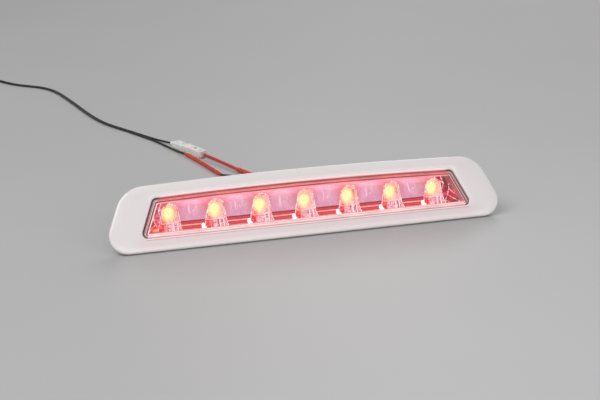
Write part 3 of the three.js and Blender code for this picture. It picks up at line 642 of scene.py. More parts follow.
def outline(shape, grown=0.0):
    # rounded trapezoid with a crowned top, from the foot of the right end round to the left end
    corner, top = 12, 18  # steps round a corner and along the top
    low, high, reach = shape["low"] - grown, shape["high"] + grown, shape["reach"] + grown
    foot, shoulder = max(shape["foot"] + grown, 0.4), max(shape["shoulder"] + grown, 0.4)
    footH = low + foot
    footX = (reach - foot - tiltSin * footH) / tiltCos
    slope, tangentX, shoulderX, shoulderH = 0.0, footX, footX, high - crownAt(footX) - shoulder
    for _ in range(8):
        shoulderX = (reach - shoulder - tiltSin * shoulderH) / tiltCos
        tangentX = shoulderX + shoulder * math.sin(slope)
        slope = math.atan(2 * faceSize["crown"] * tangentX / faceSize["halfLong"] ** 2)
        shoulderH = high - crownAt(tangentX) - shoulder * math.cos(slope)
    half = [(footX * share, low) for share in (0.25, 0.5, 0.75)]
    half += [(footX + foot * math.cos(a), footH + foot * math.sin(a))
             for a in np.linspace(-math.pi / 2, faceSize["tilt"], corner)]
    half += [(shoulderX + shoulder * math.cos(a), shoulderH + shoulder * math.sin(a))
             for a in np.linspace(faceSize["tilt"], math.pi / 2 - slope, corner)]
    half += [(tangentX * (1 - i / top), high - crownAt(tangentX * (1 - i / top))) for i in range(1, top)]
    return np.array([(0, low), *half, (0, high), *[(-x, h) for x, h in reversed(half)]])


def standing(flat, depth):  # a flat outline at its depth behind the face
    return np.stack([flat[:, 0], np.full(len(flat), depth), flat[:, 1]], 1)


def ringAt(shape, grown, depth):
    return standing(outline(shape, grown), depth)


def rounding(steps):
    return [(1 - math.cos(a), 1 - math.sin(a)) for a in np.linspace(0, math.pi / 2, steps)]


# bezel
# the bezel's pink tint, seam colour and glow colour are painted light: the lamp's red light on the face, a
# shadow line along the lens and light on the window's lip
bezelSetup = {"thick": 3.2, "edge": 1.6, "lip": 1.2, "dome": 0.35, "boss": (1.4, 3.2, 3.0, 5.3),
              "bossOut": 8.0, "colour": (0.80, 0.775, 0.765), "paintedRedTint": (0.82, 0.60, 0.62),
              "paintedSeamShade": (0.50, 0.20, 0.19), "glow": (0.62, 0.25, 0.24), "roughness": 0.2}
screwPlaces = [(side * (sideAt(windowShape, h) + bezelSetup["bossOut"]), h)
               for side in (-1, 1) for h in (13.0, 28.0)]


def makeBezel(setup):
    edge, lip, rings = setup["edge"], setup["lip"], []
    rings.append(ringAt(bezelShape, -0.4, setup["thick"]))
    rings.append(ringAt(bezelShape, 0.0, setup["thick"] - 0.4))
    for away, sunk in rounding(8):
        rings.append(ringAt(bezelShape, -edge * away, edge * sunk))
    outer, inner = outline(bezelShape, -edge), outline(windowShape, lip)
    for share in (0.04, 0.1, 0.18, 0.28, 0.4, 0.52, 0.64, 0.75, 0.84, 0.91, 0.96):
        rise = setup["dome"] * (1 - (2 * share - 1) ** 4)
        rings.append(standing(outer + (inner - outer) * share, -rise))
    for away, sunk in reversed(rounding(6)):
        rings.append(ringAt(windowShape, lip * away, lip * sunk))
    rings.append(ringAt(windowShape, 0.0, setup["thick"]))
    shape = Shape().grid(rings, closed=True, loop=True)
    inner, outer, front, back = setup["boss"]
    for place in screwPlaces:  # screw bosses behind the face
        shape.lathe([(inner, front), (inner, back), (outer, back), (outer, front)], place, "d", 20, loop=True)
    return shape


whiteGloss = Finish("whiteGloss", Specular_IOR_Level=0.5, Coat_Weight=0.55, Coat_Roughness=0.06)
faceX, _, faceHeight = whiteGloss.place()
faceTop = faceHeight + faceX * faceX * (faceSize["crown"] / faceSize["halfLong"] ** 2)
byWindow = faceX.size().ramp(112.0, 122.0, 1.0, 0.0)
pastEnd = windowReach - (faceX.size() * tiltCos + faceHeight * tiltSin)
alongWindow = pastEnd.ramp(2.5, 5.5)
# painted red light: the face turns pink below and above the window, and faintly everywhere, where the lamp's
# red light falls
paintedRedLight = faceHeight.band(1.5, 8.6, 2.2) * 0.34 + faceTop.band(36.4, 40.5, 1.5) * 0.10
paintedRedLight = 0.10 + 0.08 * whiteGloss.noise(30, 2).ramp(0.35, 0.65) + byWindow * paintedRedLight
faceColour = whiteGloss.blend(paintedRedLight, bezelSetup["colour"], bezelSetup["paintedRedTint"])
paintedSeamShade = alongWindow * faceHeight.band(7.3, 7.75, 0.3) * 0.7  # painted shadow line between bezel and lens
# painted light: the window's lip glows red along its top and bottom where the lamp's light falls on it
paintedLipGlow = alongWindow * (faceTop.band(36.3, 37.5, 0.25) + faceHeight.band(7.9, 8.9, 0.2) * 0.7)
whiteGloss.set(Base_Color=whiteGloss.blend(paintedSeamShade, faceColour, bezelSetup["paintedSeamShade"]), Emission_Strength=0.5,
               Emission_Color=whiteGloss.blend(paintedLipGlow, (0, 0, 0), bezelSetup["glow"]),
               Roughness=bezelSetup["roughness"] + 0.06 * whiteGloss.noise(160, 3))
whiteGloss.bump(whiteGloss.noise(380, 2), 0.05, 0.0004)
makeBezel(bezelSetup).piece("bezel_trim", [whiteGloss], "white_gloss", ["bezel"], 50)
print("bezel made")

# lens
lensSetup = {"inside": -0.3, "sink": 1.4, "step": 1.15, "middle": 0.7, "skin": 2.0, "flange": 2.6,
             "ledge": 3.95, "lowSlim": 1.5}


def makeLens(setup):
    inside, sink, step = setup["inside"], setup["sink"], setup["step"]
    flange, flangeFront, flangeBack = setup["flange"], 3.5, 5.3
    rows = [  # grown, depth and the finish of the strip that ends here
        (flange, flangeBack, 0), (flange, flangeFront, 0), (inside, flangeFront, 0), (inside, 1.75, 3),
        (inside - 0.12, 1.5, 3), (inside - 0.35, sink, 3), (inside - 1.05, sink, 1), (inside - 1.25, sink, 2),
        (inside - 1.65, sink, 1), (inside - 1.75, sink - 0.02, 2), (inside - 2.0, step, 2),
        (inside - 2.15, step, 1), (inside - 3.1, step, 1), (inside - 3.2, 1.1, 2), (inside - 3.7, 0.74, 2),
        (inside - setup["ledge"], setup["middle"], 0)]

    def ring(grown, depth):  # the ledge is narrower along the bottom
        slim = setup["lowSlim"] * min(max((inside - grown) / setup["ledge"], 0), 1)
        return ringAt({**windowShape, "low": windowShape["low"] - slim}, grown, depth)
    shape = Shape()
    for (g0, d0, _), (g1, d1, pick) in zip(rows, rows[1:]):
        shape.grid([ring(g0, d0), ring(g1, d1)], pick, closed=True)
    addCap(shape, ring(*rows[-1][:2]), 0)
    back = [ringAt(windowShape, inside - setup["skin"] - grown, depth) for grown, depth in
            ((0, flangeBack), (0, 3.6), (0.2, 3.4))]
    shape.grid([ring(flange, flangeBack), *back], 0, closed=True, flip=True)
    return addCap(shape, back[-1], 0, back=True)


def addCap(shape, ring, pick, back=False):
    # closes a ring that is symmetric about x = 0 with strips across it
    count, half = len(ring), len(ring) // 2
    faces = [(0, 1, count - 1)]
    faces += [(k, k + 1, count - k - 1, count - k) for k in range(1, half - 1)]
    faces.append((half - 1, half, half + 1))
    return shape.add(ring, [f[::-1] for f in faces] if back else faces, pick)


def clearFinish(name, body, haze, roughness=0.04, glow=None):
    # clear plastic: see-through, with its surface showing by Fresnel and by how milky it is
    finish = Finish(name, Base_Color=body, Roughness=roughness, Specular_IOR_Level=0.6)
    if glow:
        finish.set(Emission_Color=glow[:3], Emission_Strength=glow[3])
    fresnel = Wire(finish, finish.node("ShaderNodeFresnel", inputs={"IOR": 1.42}).outputs[0])
    share = fresnel * 0.6 + finish.noise(90, 2).ramp(0.3, 0.8, haze, haze * 1.25)
    clear = finish.node("ShaderNodeBsdfTransparent", inputs={"Color": (1.0, 0.965, 0.97)})
    mixed = finish.node("ShaderNodeMixShader", inputs={
        0: share, 1: clear.outputs[0], 2: finish.shader.outputs[0]})
    finish.feed(finish.output.inputs["Surface"], mixed.outputs[0])
    return finish


def ledgeFinish(name, haze, roughness, glow, low, side, top):
    # a ledge's colour and glow are painted light and go by where it runs: paler along the bottom as a painted
    # reflection, darker down the slanting ends as painted shade, or redder along the top from the lamp's
    # light
    finish = clearFinish(name, low, haze, roughness)
    x, _, h = finish.place()
    atEnd = (windowReach - (x.size() * tiltCos + h * tiltSin)).ramp(3.6, 4.6, 1.0, 0.0)
    streak = finish.noise(60, 3, (1, 8, 8)).ramp(0.35, 0.65)
    low, top = (finish.blend(streak, tone, tuple(share * c for c in tone))
                for tone, share in ((low, 0.8), (top, 0.75)))
    tone = finish.blend(atEnd, finish.blend(h.ramp(12.0, 14.0), low, top), side)
    return finish.set(Base_Color=tone, Emission_Color=tone, Emission_Strength=glow)


# the ledges' tones and glow are painted light rather than the clear plastic's own colour
lensFinishes = [
    clearFinish("clearLens", (0.95, 0.88, 0.90), 0.015, 0.03),
    ledgeFinish("lensLedge", 0.90, 0.12, 0.24, (0.78, 0.50, 0.49), (0.20, 0.095, 0.090), (0.50, 0.085, 0.09)),
    ledgeFinish("lensEdge", 0.88, 0.10, 0.42, (1.0, 0.80, 0.79), (0.80, 0.50, 0.50), (0.90, 0.36, 0.37)),
    ledgeFinish("lensRim", 0.95, 0.15, 0.30, (0.62, 0.34, 0.33), (0.045, 0.018, 0.015), (0.40, 0.10, 0.10)),
]
makeLens(lensSetup).piece("lens_window", lensFinishes, "clear_lens", ["lens"], 30)
print("lens made")

# reflector
cellSetup = {"pitch": 30.859, "count": 7, "led": 26.6, "head": 5.0, "foot": 7.8, "toe": 12.4, "spring": 27.9,
             "rise": 4.5, "rim": 0.55, "front": 9.6, "floor": 13.9, "taper": 0.9, "slant": 0.13, "skin": 0.4}
ribs = [(1.2, 11.6, 18.6, 0.42), (3.9, 11.6, 18.2, 0.42), (-4.8, 12.0, 17.6, 0.2), (-3.0, 12.0, 18.2, 0.2),
        (-1.0, 12.0, 17.4, 0.24)]  # place across, lower and upper end, width
ledPlaces = [cellSetup["pitch"] * (i - (cellSetup["count"] - 1) / 2) for i in range(cellSetup["count"])]
sillHeights = [11.3, 11.9, 13.0, 14.3, 14.62, 14.95, 15.3, 16.4, 17.5, 18.25, 18.7, 19.3, 20.6, 22.4, 24.2,
               26.0]
panelLow = 19.3


def sillDepth(h):  # depth of the panels and of the two sloping sills under them
    return float(np.interp(h, [11.3, 14.5, 14.8, 18.3, 18.75, panelLow], [6.9, 8.2, 9.2, 10.9, 11.25, 11.3]))


def slantAt(h):  # the pockets' feet stand a little to the left of their heads
    return -cellSetup["slant"] * (cellSetup["led"] - h)


def bellSide(centre, grown):  # half widths and heights of a pocket's side, from its foot to its top
    head, foot, toe = cellSetup["head"], cellSetup["foot"], cellSetup["toe"]
    spring = cellSetup["spring"] - crownAt(centre)
    side = [(foot + (head - foot) * (h - toe) / (spring - toe) + grown, h) for h in sillHeights]
    side += [((head + grown) * math.cos(a), spring + (cellSetup["rise"] + grown) * math.sin(a))
             for a in np.linspace(0, math.pi / 2, 9)]
    return side


def sideWidth(centre, grown, h):
    widths, heights = zip(*bellSide(centre, grown))
    return float(np.interp(h, heights, widths))


def panelPoint(left, right, share, bow):
    x, h = left[0] + (right[0] - left[0]) * share, left[1] + (right[1] - left[1]) * share
    calm = min(max((h - panelLow) / 2.5, 0), 1)
    wave = bow * (1 - (2 * share - 1) ** 2) - 0.10 * math.sin(share * 6 * math.pi)
    return (x, sillDepth(h) + calm * wave, h)


def makeGap(shape, first, second, pick):
    # flat panel and sills between two pockets, each row from one pocket's side to the next one's
    sides = []
    for centre, way in ((first, 1), (second, -1)):
        side = [(centre + way * w + slantAt(h), h) for w, h in bellSide(centre, cellSetup["rim"])]
        sides.append([*side, (centre + slantAt(33), reflectorShape["high"] - crownAt(centre))])
    shares = np.linspace(0, 1, 19)
    shape.grid([[panelPoint(a, b, share, 0.7) for share in shares] for a, b in zip(*sides)], pick)
    for h, line in ((16.4, 0.20), (13.1, 0.14)):  # painted highlight lines along the sills, carried on thin ridges
        ends = [(centre + way * (sideWidth(centre, cellSetup["rim"], h) + 0.3) + slantAt(h), sillDepth(h), h)
                for centre, way in ((first, 1), (second, -1))]
        addRidge(shape, *ends, line, 7)


def makeCup(shape, centre, picks):
    # one pocket: rounded rim on the panels, tapering wall and a floor that dishes towards the light
    rim, front, deepest, taper = (cellSetup[key] for key in ("rim", "front", "floor", "taper"))
    levels = [(rim, None), (rim, 0.35), (rim * 0.8, 0.08), (rim * 0.5, 0.0), (rim * 0.2, 0.08), (0.0, 0.35),
              (-taper * 0.5, "half"), (-taper, "floor")]
    columns = []
    for offset, level in levels:
        column = []
        side = bellSide(centre, offset)
        for sign, walk in ((1, side), (-1, side[-2::-1])):
            for w, h in walk:
                top = min(front, sillDepth(h) - 0.55)
                depths = {None: sillDepth(h), "half": (top + deepest) / 2, "floor": deepest}
                depth = depths[level] if level in depths else top + level
                column.append((centre + sign * w + slantAt(h), depth, h))
        columns.append(column)
    shape.grid(columns[:6], picks[0])
    shape.grid(columns[5:], picks[1])
    floor, rows = columns[-1], []
    for right, left in zip(floor[:len(floor) // 2], floor[::-1]):
        row = []
        for share in np.linspace(0, 1, 13):
            x, d, h = np.array(left) + (np.array(right) - left) * share
            away = math.hypot(x - centre, h - cellSetup["led"])
            row.append((x, d + 0.55 * math.exp(-(away / 3.2) ** 2), h))
        rows.append(row)
    shape.grid(rows, picks[1])


def makeEnd(shape, side, picks):
    # faceted corner between the last pocket and the lamp's slanting end, with ridges along its facets
    centre = side * abs(ledPlaces[0])
    heights = [11.3, 14.8, 18.8, 23.0, 27.2, 35.0]
    knots = []
    for r, h in enumerate(heights):
        start = centre + side * sideWidth(centre, cellSetup["rim"], h) + slantAt(h)
        end = side * sideAt(reflectorShape, h)
        row = []
        for c, share in enumerate((0.0, 0.34, 0.68, 1.0)):
            lift = -1.5 if (r + c) % 2 else 0.7
            deep = sillDepth(h) + (lift if 0 < c < 3 or r % 2 else 0)
            x = start + (end - start) * share
            row.append((x, deep, min(h, reflectorShape["high"] - 0.1 - crownAt(x))))
        knots.append(row)
    for r in range(len(heights) - 1):
        for c in range(3):
            a, b, e, f = knots[r][c], knots[r][c + 1], knots[r + 1][c + 1], knots[r + 1][c]
            first = [(0, 1, 2), (0, 2, 3)] if (r + c) % 2 else [(0, 1, 3), (1, 2, 3)]
            shape.add([a, b, e, f], first if side > 0 else [t[::-1] for t in first], picks[0])
            ends = (a, e) if (r + c) % 2 else (b, f)
            if (r * 2 + c) % 3 != 1:
                addRidge(shape, *ends, 0.27, picks[1])


def addRidge(shape, start, end, width, pick):  # thin raised line between two points, standing a little proud
    start, end = np.array(start, float), np.array(end, float)
    across = np.cross(end - start, (0, 1, 0))
    across = across / np.linalg.norm(across) * width
    base, crest = np.array((0, 0.05, 0)), np.array((0, -0.12 - width * 0.9, 0))
    rows = [[p + base - across, p + crest, p + base + across] for p in (start, end)]
    shape.grid(rows, pick, closed=True)
    shape.add(rows[0] + rows[1], [(2, 1, 0), (3, 4, 5)], pick)


def makeReflector():
    shape = Shape()
    for first, second in zip(ledPlaces, ledPlaces[1:]):
        makeGap(shape, first, second, 0)
        pin = (first + second) / 2 + 0.6
        profile = [(0.0, 12.0), (0.95, 12.0), (0.95, 11.2), (0.75, 11.0), (0.3, 10.95), (0.0, 11.05)]
        shape.lathe(profile, (pin, 26.4), "d", 16)
    for centre in ledPlaces:
        makeCup(shape, centre, (1, 2))
        for across, low, high, wide in ribs:
            middle = centre + across
            shape.box((middle - wide / 2, 9.4, low), (middle + wide / 2, 10.1, high), 0.1, 3)
    for side in (-1, 1):
        makeEnd(shape, side, (4, 1))
    rim = [(0.0, 5.0), (0.0, 3.75), (-0.1, 3.7), (-0.75, 3.8), (-0.85, 4.0), (-0.45, 7.0), (-0.1, 12.4)]
    shape.grid([ringAt(reflectorShape, grown, depth) for grown, depth in rim], 5, closed=True)
    for centre in ledPlaces[1:]:  # lens feet beside the pockets, glowing white as a painted highlight
        shape.box((centre - 11.6, 6.3, 11.3), (centre - 8.6, 8.6, 13.9), 0.45, 6)
        shape.box((centre - 11.6, 6.0, 13.5), (centre - 9.9, 8.6, 16.2), 0.45, 6)
    dome = [(0.0, 9.5), (1.9, 9.5)]
    dome += [(1.9 * math.cos(a), 7.6 - 1.5 * math.sin(a)) for a in np.linspace(0, math.pi / 2, 8)]
    shape.lathe(dome, (ledPlaces[0] - 11.4, 13.6), "d", 28, 8)  # amber cap beside the first light
    return shape


def plating(name, colour, strength, roughness, metallic=0.6, baseTone=None):
    # plated plastic in red light, whose colour is painted light: reflections, highlights and the lamp's red
    # glow, put into its base colour and its glow; colour works out that tone from u, r, h and x: the places
    # across and round the nearest light, up the face and along it; the last argument, when given, does the
    # same for the base colour of a surface that glows unevenly
    finish = Finish(name, Metallic=metallic, Emission_Strength=strength)
    x, _, h = finish.place()
    u = x - (x / cellSetup["pitch"] + 0.04).math("ROUND") * cellSetup["pitch"]
    v = h - cellSetup["led"]
    low = (v + 0.5) * v.ramp(-1.5, 1.5, 0.68, 1.0)  # the glow reaches further down than up
    r = ((u + 0.8) * (u + 0.8) + low * low) ** 0.5
    places = (finish, u - v * cellSetup["slant"], r, h, x)
    tone = colour(*places)
    return finish.set(Base_Color=baseTone(*places) if baseTone else tone, Emission_Color=tone,
                      Roughness=finish.noise(700, 2).ramp(0.3, 0.8, roughness * 0.8, roughness * 1.5))


# colours of the lit reflector: painted reflections, highlights, shade and the lamp's red glow in the plating
litColours = {"panel": (0.72, 0.38, 0.53), "panelPale": (0.84, 0.56, 0.68), "panelPink": (0.72, 0.24, 0.32),
              "glint": (1.0, 0.80, 0.86), "band": (0.60, 0.045, 0.075), "bandDark": (0.24, 0.008, 0.016),
              "line": (1.0, 0.42, 0.34), "foot": (0.52, 0.055, 0.065), "strip": (1.0, 0.60, 0.62)}


# painted sparkle: a noise mask that picks the brighter, lit tone
def sparkle(finish, scale, low, high):
    return finish.noise(scale, 3).ramp(low, high)


# the panel's colour is painted light: red, dark red and bright bands up the sills, pale patches, pink fringes
# and glints standing for reflections and red glow
def panelColour(finish, u, r, h, x):
    c = litColours
    tone = finish.stops((h - 11.3) / 22.4, [
        (0.0, c["strip"]), (0.018, c["strip"]), (0.030, c["foot"]), (0.195, c["foot"]), (0.215, c["line"]),
        (0.235, c["line"]), (0.250, c["band"]), (0.315, c["band"]), (0.330, c["bandDark"]),
        (0.355, c["bandDark"]), (0.375, c["panel"]), (0.66, c["panel"]), (1.0, c["panelPale"])])
    upper = h.ramp(19.0, 20.5)
    cloud = finish.noise(210, 3, (1, 1, 0.35)).ramp(0.42, 0.62)
    tone = finish.blend(cloud * 0.5 * upper, tone, c["panelPale"])
    tone = finish.blend(r.ramp(6.5, 11.5, 0.75, 0.0) * upper, tone, c["panelPink"])  # painted pink fringes of the red light round each light
    side = x - ((x / cellSetup["pitch"] - 0.5).math("ROUND") + 0.5) * cellSetup["pitch"]
    side = side + finish.noise(160, 2) * 3.0 - 1.5
    glint = (side + 2.2).size().ramp(0.1, 0.75, 1.0, 0.0) * h.band(24.0, 30.0, 1.5)  # painted upright glints
    glint = glint + 0.6 * (side - 2.6).size().ramp(0.1, 0.6, 1.0, 0.0) * h.band(26.0, 32.5, 1.5)
    return finish.blend(glint * 0.85, tone, c["glint"])


# the pockets' rims and the end facets' ridges sparkle with painted highlights
def rimColour(finish, u, r, h, x):
    return finish.blend(sparkle(finish, 650, 0.44, 0.56), (0.62, 0.22, 0.26), (1.0, 0.88, 0.88))


# painted glow of a light, from pale yellow at its centre through orange to pink
def haloStops(finish, reach):
    return finish.stops(reach / 10.0, [
        (0.0, (1.0, 1.0, 0.62)), (0.15, (1.0, 1.0, 0.42)), (0.27, (1.0, 0.78, 0.30)),
        (0.38, (1.0, 0.50, 0.25)), (0.52, (0.90, 0.34, 0.26)), (0.68, (0.62, 0.22, 0.24)),
        (1.0, (0.50, 0.17, 0.20))])


# the pocket's colour is painted light: the light's halo with streaks, pink reflections with dark streaks, and
# a red patch left of the light
def cupColour(finish, u, r, h, x):
    way = finish.spot(u / r * 3, (h - cellSetup["led"]) / r * 3, x * 0.11)
    streak = finish.noise(2.8, 2, vector=way.socket).ramp(0.42, 0.58)
    halo = haloStops(finish, r * (1.2 - 0.4 * streak))
    pink = finish.blend(sparkle(finish, 900, 0.44, 0.60), (0.40, 0.13, 0.17), (0.80, 0.50, 0.54))
    streak = finish.noise(520, 2, (1, 0.2, 0.2)).ramp(0.54, 0.60) * 0.8
    pink = finish.blend(streak, pink, (0.16, 0.020, 0.030))
    left = u.ramp(-2.6, -1.4, 1.0, 0.0) * h.band(13.5, 24.5, 1.0)
    red = finish.blend(sparkle(finish, 700, 0.45, 0.6), (0.50, 0.008, 0.010), (0.80, 0.10, 0.08))
    return finish.blend(r.ramp(3.6, 5.8), halo, finish.blend(left, pink, red))


# the ribs in the pockets are pink, turning near-white on one side as a painted highlight
def ribColour(finish, u, r, h, x):
    return finish.blend(u.ramp(1.0, 2.5), (0.80, 0.40, 0.46), (1.0, 0.95, 0.94))


# the end facets are painted reflections of the red light: dark red at the right end, bright red and pink at
# the left, with painted sparkle
def facetColour(finish, u, r, h, x):
    facetSparkle = sparkle(finish, 330, 0.44, 0.56)
    right = finish.blend(facetSparkle, (0.58, 0.022, 0.048), (0.20, 0.005, 0.014))
    low = finish.blend(facetSparkle, (0.95, 0.030, 0.040), (0.50, 0.012, 0.018))
    left = finish.blend(h.ramp(18.5, 21.0), low, finish.blend(facetSparkle, (0.70, 0.22, 0.28), (0.50, 0.08, 0.11)))
    return finish.blend(x.ramp(-1.0, 1.0), left, right)


# the rim wall's colour is painted light: bright pink at the bottom, dark in the middle, pinker at the top,
# and glowing orange in line with each light
def wallColour(finish, u, r, h, x):
    tone = finish.stops(h / 45.0, [(0.24, (1.0, 0.66, 0.68)), (0.30, (0.50, 0.20, 0.22)),
                                   (0.68, (0.42, 0.13, 0.14)), (0.72, (0.66, 0.24, 0.28))])
    glow = u.size().ramp(2.0, 7.0, 0.45, 0.0) * x.size().ramp(104.0, 108.0, 1.0, 0.0)
    return finish.blend(glow, tone, (1.0, 0.45, 0.35))


# the amber cap's own amber, darker at the bottom and pale orange at the top as a painted highlight; its glow
# is painted light
def amberAndHighlight(finish, u, r, h, x):
    return finish.blend(h.ramp(12.6, 14.6), (0.30, 0.06, 0.02), (0.95, 0.52, 0.20))


# the sills' lines glow orange as painted highlights
def lineColour(finish, u, r, h, x):
    return finish.blend(finish.noise(300, 2).ramp(0.4, 0.6), (1.0, 0.48, 0.40), (0.95, 0.30, 0.26))


# near-white glow on the lens feet: a painted highlight
def footHighlightColour(finish, u, r, h, x):
    return finish.blend(finish.noise(400, 1).ramp(0.45, 0.6), (1.0, 0.97, 0.95), (1.0, 0.90, 0.88))


platings = [
    plating("litPanel", panelColour, 0.38, 0.20),
    plating("litRim", rimColour, 0.55, 0.18, 0.3),
    plating("litCup", cupColour, 0.80, 0.22),
    plating("litRib", ribColour, 0.50, 0.25, 0.1),
    plating("litFacet", facetColour, 0.36, 0.35, 0.05),
    plating("litWall", wallColour, 0.45, 0.22),
    plating("litFoot", footHighlightColour, 0.95, 0.20, 0.0),
    plating("litLine", lineColour, 0.80, 0.20, 0.0),
    plating("litAmber", amberAndHighlight, 0.45, 0.20, 0.0),
]
makeReflector().piece("reflector_plating", platings, "plated_chrome", ["reflector"], 22,
                      skin=cellSetup["skin"])
print("reflector made")

# lights
ledSetup = {"size": 7.6, "front": 13.6, "back": 16.0, "dome": 2.4}


# the package's base colour is the light's halo as painted light; its glow is the light's own, spreading over
# the package
def packageHaloColour(finish, u, r, h, x):
    return haloStops(finish, r)


def packageGlow(finish, u, r, h, x):
    return haloStops(finish, r * finish.noise(700, 2).ramp(0.35, 0.65, 0.8, 1.25))


ledHaloPackage = plating("ledPackage", packageGlow, 0.72, 0.3, 0.0, packageHaloColour)
ledLight = Finish("ledLight", Base_Color=(0.6, 0.5, 0.2), Roughness=0.25, Emission_Strength=0.8)
ledLight.set(Emission_Color=ledLight.blend(ledLight.noise(1500, 2).ramp(0.4, 0.62), (1.0, 0.96, 0.36),
                                           (1.0, 1.0, 0.62)))


def makeLight(centre, setup):
    half, front, dome, h, shape = setup["size"] / 2, setup["front"], setup["dome"], cellSetup["led"], Shape()
    shape.box((centre - half, front, h - half), (centre + half, setup["back"], h + half), 0.35)
    ring = [(3.3, 0.1), (3.3, -0.35), (3.0, -0.55), (2.6, -0.4), (2.45, 0.1)]
    shape.lathe([(radius, front + rise) for radius, rise in ring], (centre, h), "d", 32, loop=True)
    profile = [(dome * math.cos(a), front - dome * math.sin(a)) for a in np.linspace(0, math.pi / 2, 10)]
    return shape.lathe([(0.0, front), *profile], (centre, h), "d", 32, 1)


for number, centre in enumerate(ledPlaces, 1):
    makeLight(centre, ledSetup).piece(f"light_{number}", [ledHaloPackage, ledLight], "led_body", [f"led_{number}"])

# clear optics in front of the lights, glowing with painted light: the light's halo with streaks, bright dots
# and pale patches
opticSetup = {"front": 9.7, "back": 10.5, "low": 18.3, "inset": 0.55}


def makeGlowOptic():
    finish = Finish("glowOptic", Base_Color=(0.30, 0.10, 0.09), Roughness=0.12, Emission_Strength=1.0)
    x, _, h = finish.place()
    u = x - (x / cellSetup["pitch"]).math("ROUND") * cellSetup["pitch"]
    v = (h - cellSetup["led"]) * 0.86
    r = (u * u + v * v) ** 0.5
    streak = finish.noise(3.6, 2, vector=finish.spot(u / r * 3, v / r * 3, x * 0.13).socket).ramp(0.42, 0.58)
    glow = finish.stops(r * (1.25 - 0.5 * streak) / 10.0, [
        (0.0, (1.0, 0.98, 0.50)), (0.20, (1.0, 0.90, 0.40)), (0.36, (1.0, 0.62, 0.32)),
        (0.50, (1.0, 0.50, 0.34)), (0.70, (0.92, 0.42, 0.40)), (1.0, (0.86, 0.46, 0.52))])
    dots = finish.noise(1100, 3).ramp(0.48, 0.56) * r.ramp(3.0, 5.0, 0.0, 0.8)
    left = u.ramp(-3.0, -1.6, 1.0, 0.0) * h.ramp(23.5, 25.5, 1.0, 0.0)
    cloud = finish.noise(600, 2).ramp(0.40, 0.60) * r.ramp(2.0, 5.0, 0.5, 1.0)
    return finish.set(Emission_Color=finish.blend(dots, glow, (1.0, 0.88, 0.84)),
                      Alpha=0.18 + 0.30 * cloud + 0.25 * dots - left * 0.6)


# the optics' faces, edges and backs glow with painted light, though they are no lamps
opticFinishes = [makeGlowOptic(),
                 clearFinish("opticEdge", (1.0, 0.85, 0.82), 0.45, 0.1, (0.9, 0.50, 0.46, 0.5)),
                 clearFinish("opticBack", (1.0, 0.85, 0.82), 0.06, 0.1, (1.0, 0.66, 0.40, 0.6))]


def makeOptic(centre, setup):
    front, back, shape = setup["front"], setup["back"], Shape()

    def loop(grown, deep):
        offset, low = grown - setup["inset"], setup["low"] - grown
        side = [(w, h) for w, h in bellSide(centre, offset) if h > setup["low"] + 0.3]
        wide = sideWidth(centre, offset, setup["low"])
        right = [(wide - 0.6, low), (wide, low + 0.6), *side]
        return [(centre + slantAt(low), deep, low), *[(centre + w + slantAt(h), deep, h) for w, h in right],
                *[(centre - w + slantAt(h), deep, h) for w, h in right[-2::-1]]]
    rings = [loop(0, back), loop(0, front + 0.2), loop(-0.2, front), loop(-0.55, front)]
    shape.grid(rings, 1, closed=True, flip=True)
    addCap(shape, rings[-1], 0)
    return addCap(shape, rings[0], 2, back=True)


for number, centre in enumerate(ledPlaces, 1):
    makeOptic(centre, opticSetup).piece(f"optic_face_{number}", opticFinishes, "clear_optic",
                                        [f"optic_{number}"])
print("lights and optics made")


# housing, seen from behind
rearSetup = {"flangeFront": 5.6, "flangeBack": 7.4, "wall": 1.8, "back": 22.2, "inset": -2.2, "thick": 1.8,
             "middle": 22.6, "studs": (-84.98, 84.98), "vent": -37.98, "outlet": 14.0,
             "ribs": (-103, -64, -50, -22, -6, 34, 49, 64, 103), "ribHeights": (14.2, 31.0), "ribRise": 0.6,
             "pins": (-73.5, -57, 24.5, 41.5, 56.5, 73.5)}
blackPlastic = mottled("blackPlastic", ((0.018, 0.018, 0.020), (0.040, 0.039, 0.038)), (70, 4, 0.5, 0.72),
                       (2600, 0.12, 0.0002), (220, 0.36, 0.52), Specular_IOR_Level=0.45)
zincSteel = mottled("zincSteel", ((0.66, 0.65, 0.61), (0.52, 0.53, 0.54)), (260, 3, 0.38, 0.66), None,
                    (900, 0.22, 0.40), Metallic=1.0)
blackRubber = mottled("blackRubber", ((0.014, 0.014, 0.015), (0.034, 0.033, 0.032)), (500, 3),
                      (3500, 0.15, 0.00015), Roughness=0.7, Specular_IOR_Level=0.3)
foamRing = mottled("foamRing", ((0.016, 0.016, 0.017), (0.062, 0.061, 0.060)), (2200, 3, 0.4, 0.62),
                   Roughness=0.95, Specular_IOR_Level=0.15)
foamRing.bump(foamRing.noise(2200, 3), 0.7, 0.0006)


def behind(back, profile):  # a profile whose places along the axis start at the housing's back
    return [(radius, back + rise) for radius, rise in profile]


